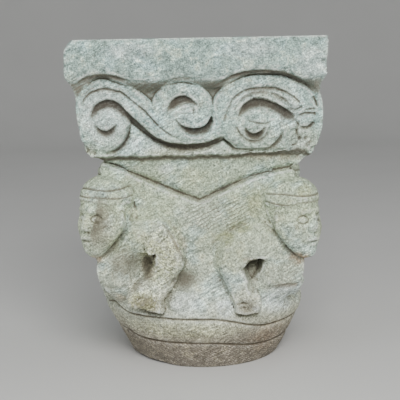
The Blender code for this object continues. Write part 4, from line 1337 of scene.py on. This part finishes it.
# %% Make the floor
FLAT, BEND, WALL = 3.0, 1.5, 2.0  # radius of the flat floor, of the bend, and height of the wall, m
sheet = bmesh.new()
profile = [(0.0, 0.0), (FLAT, 0.0)]
for turn in np.linspace(0.1, math.pi / 2, 16):
    profile.append((FLAT + BEND * math.sin(turn), BEND - BEND * math.cos(turn)))
profile.append((FLAT + BEND, BEND + WALL))
corners = [sheet.verts.new((across, 0.0, up)) for across, up in profile]
lines = [sheet.edges.new(pair) for pair in zip(corners, corners[1:])]
bmesh.ops.spin(sheet, geom=corners + lines, cent=(0, 0, 0), axis=(0, 0, 1), angle=2 * math.pi, steps=96,
               use_merge=True)
bmesh.ops.remove_doubles(sheet, verts=sheet.verts, dist=0.0001)
bmesh.ops.recalc_face_normals(sheet, faces=sheet.faces)
floor = bpy.data.objects.new("floor", bpy.data.meshes.new("floor"))
bpy.context.scene.collection.objects.link(floor)
sheet.to_mesh(floor.data)
sheet.free()
floor.data.shade_smooth()

paper = Recipe("pale_paper")
paper_place = paper.node("TexCoord", {}, {}, "Object")
fibre = paper.grain(paper_place, 0.4, 2.0)
paper.feed(paper.surface.inputs["Base Color"], paper.mix(fibre, paint(196, 196, 194), paint(204, 204, 202)))
paper.surface.inputs["Roughness"].default_value = 0.9
floor.data.materials.append(paper.material)
print("floor:", len(floor.data.polygons), "faces")

# %% [markdown]
# ## Light and camera
#
# One large soft lamp stands above and in front, a little to the right, so that every groove shows its upper
# lip in shade and its lower lip in light. A weak wide lamp on either side and the pale sky fill the shadows.
# The camera stands a little above the middle of the stone and looks slightly down. It is rolled by about one
# degree, as a camera held in the hand is.

# %% Light the stone and place the camera
SKY, SKY_STRENGTH = (0.97, 0.985, 1.0, 1.0), 0.5
LAMPS = [  # name, place, size in m, watts and colour
    ("key_lamp", (0.25, -2.0, 1.5), 1.0, 60.0, (1.0, 0.99, 0.97)),
    ("left_lamp", (-1.7, -1.5, 0.7), 1.2, 13.0, (0.95, 0.98, 1.0)),
    ("right_lamp", (2.0, -1.0, 0.6), 1.2, 8.0, (1.0, 0.98, 0.95)),
]
AIM = (0.0, 0.0, 0.25)
CAMERA_PLACE = (0.001, -1.487, 0.455)
CAMERA_TILT, CAMERA_ROLL = 8.886, -1.1  # degrees down, and about the line of sight
LENS = 91.24  # mm, on a sensor 36 mm wide

world = bpy.data.worlds.new("soft_sky")
world.use_nodes = True
world.node_tree.nodes["Background"].inputs["Color"].default_value = SKY
world.node_tree.nodes["Background"].inputs["Strength"].default_value = SKY_STRENGTH
bpy.context.scene.world = world
for name, spot, size, watts, tone in LAMPS:
    lamp = bpy.data.lights.new(name, "AREA")
    lamp.size, lamp.energy, lamp.color = size, watts, tone
    stand = bpy.data.objects.new(name, lamp)
    stand.location = spot
    stand.rotation_euler = (Vector(AIM) - Vector(spot)).to_track_quat("-Z", "Y").to_euler()
    bpy.context.scene.collection.objects.link(stand)

lens = bpy.data.cameras.new("camera")
lens.lens = LENS
camera = bpy.data.objects.new("camera", lens)
camera.location = CAMERA_PLACE
tilt = Matrix.Rotation(math.radians(90 - CAMERA_TILT), 3, "X")
camera.rotation_euler = (tilt @ Matrix.Rotation(math.radians(CAMERA_ROLL), 3, "Z")).to_euler()
bpy.context.scene.collection.objects.link(camera)
bpy.context.scene.camera = camera
print("camera at", tuple(round(part, 3) for part in camera.location))
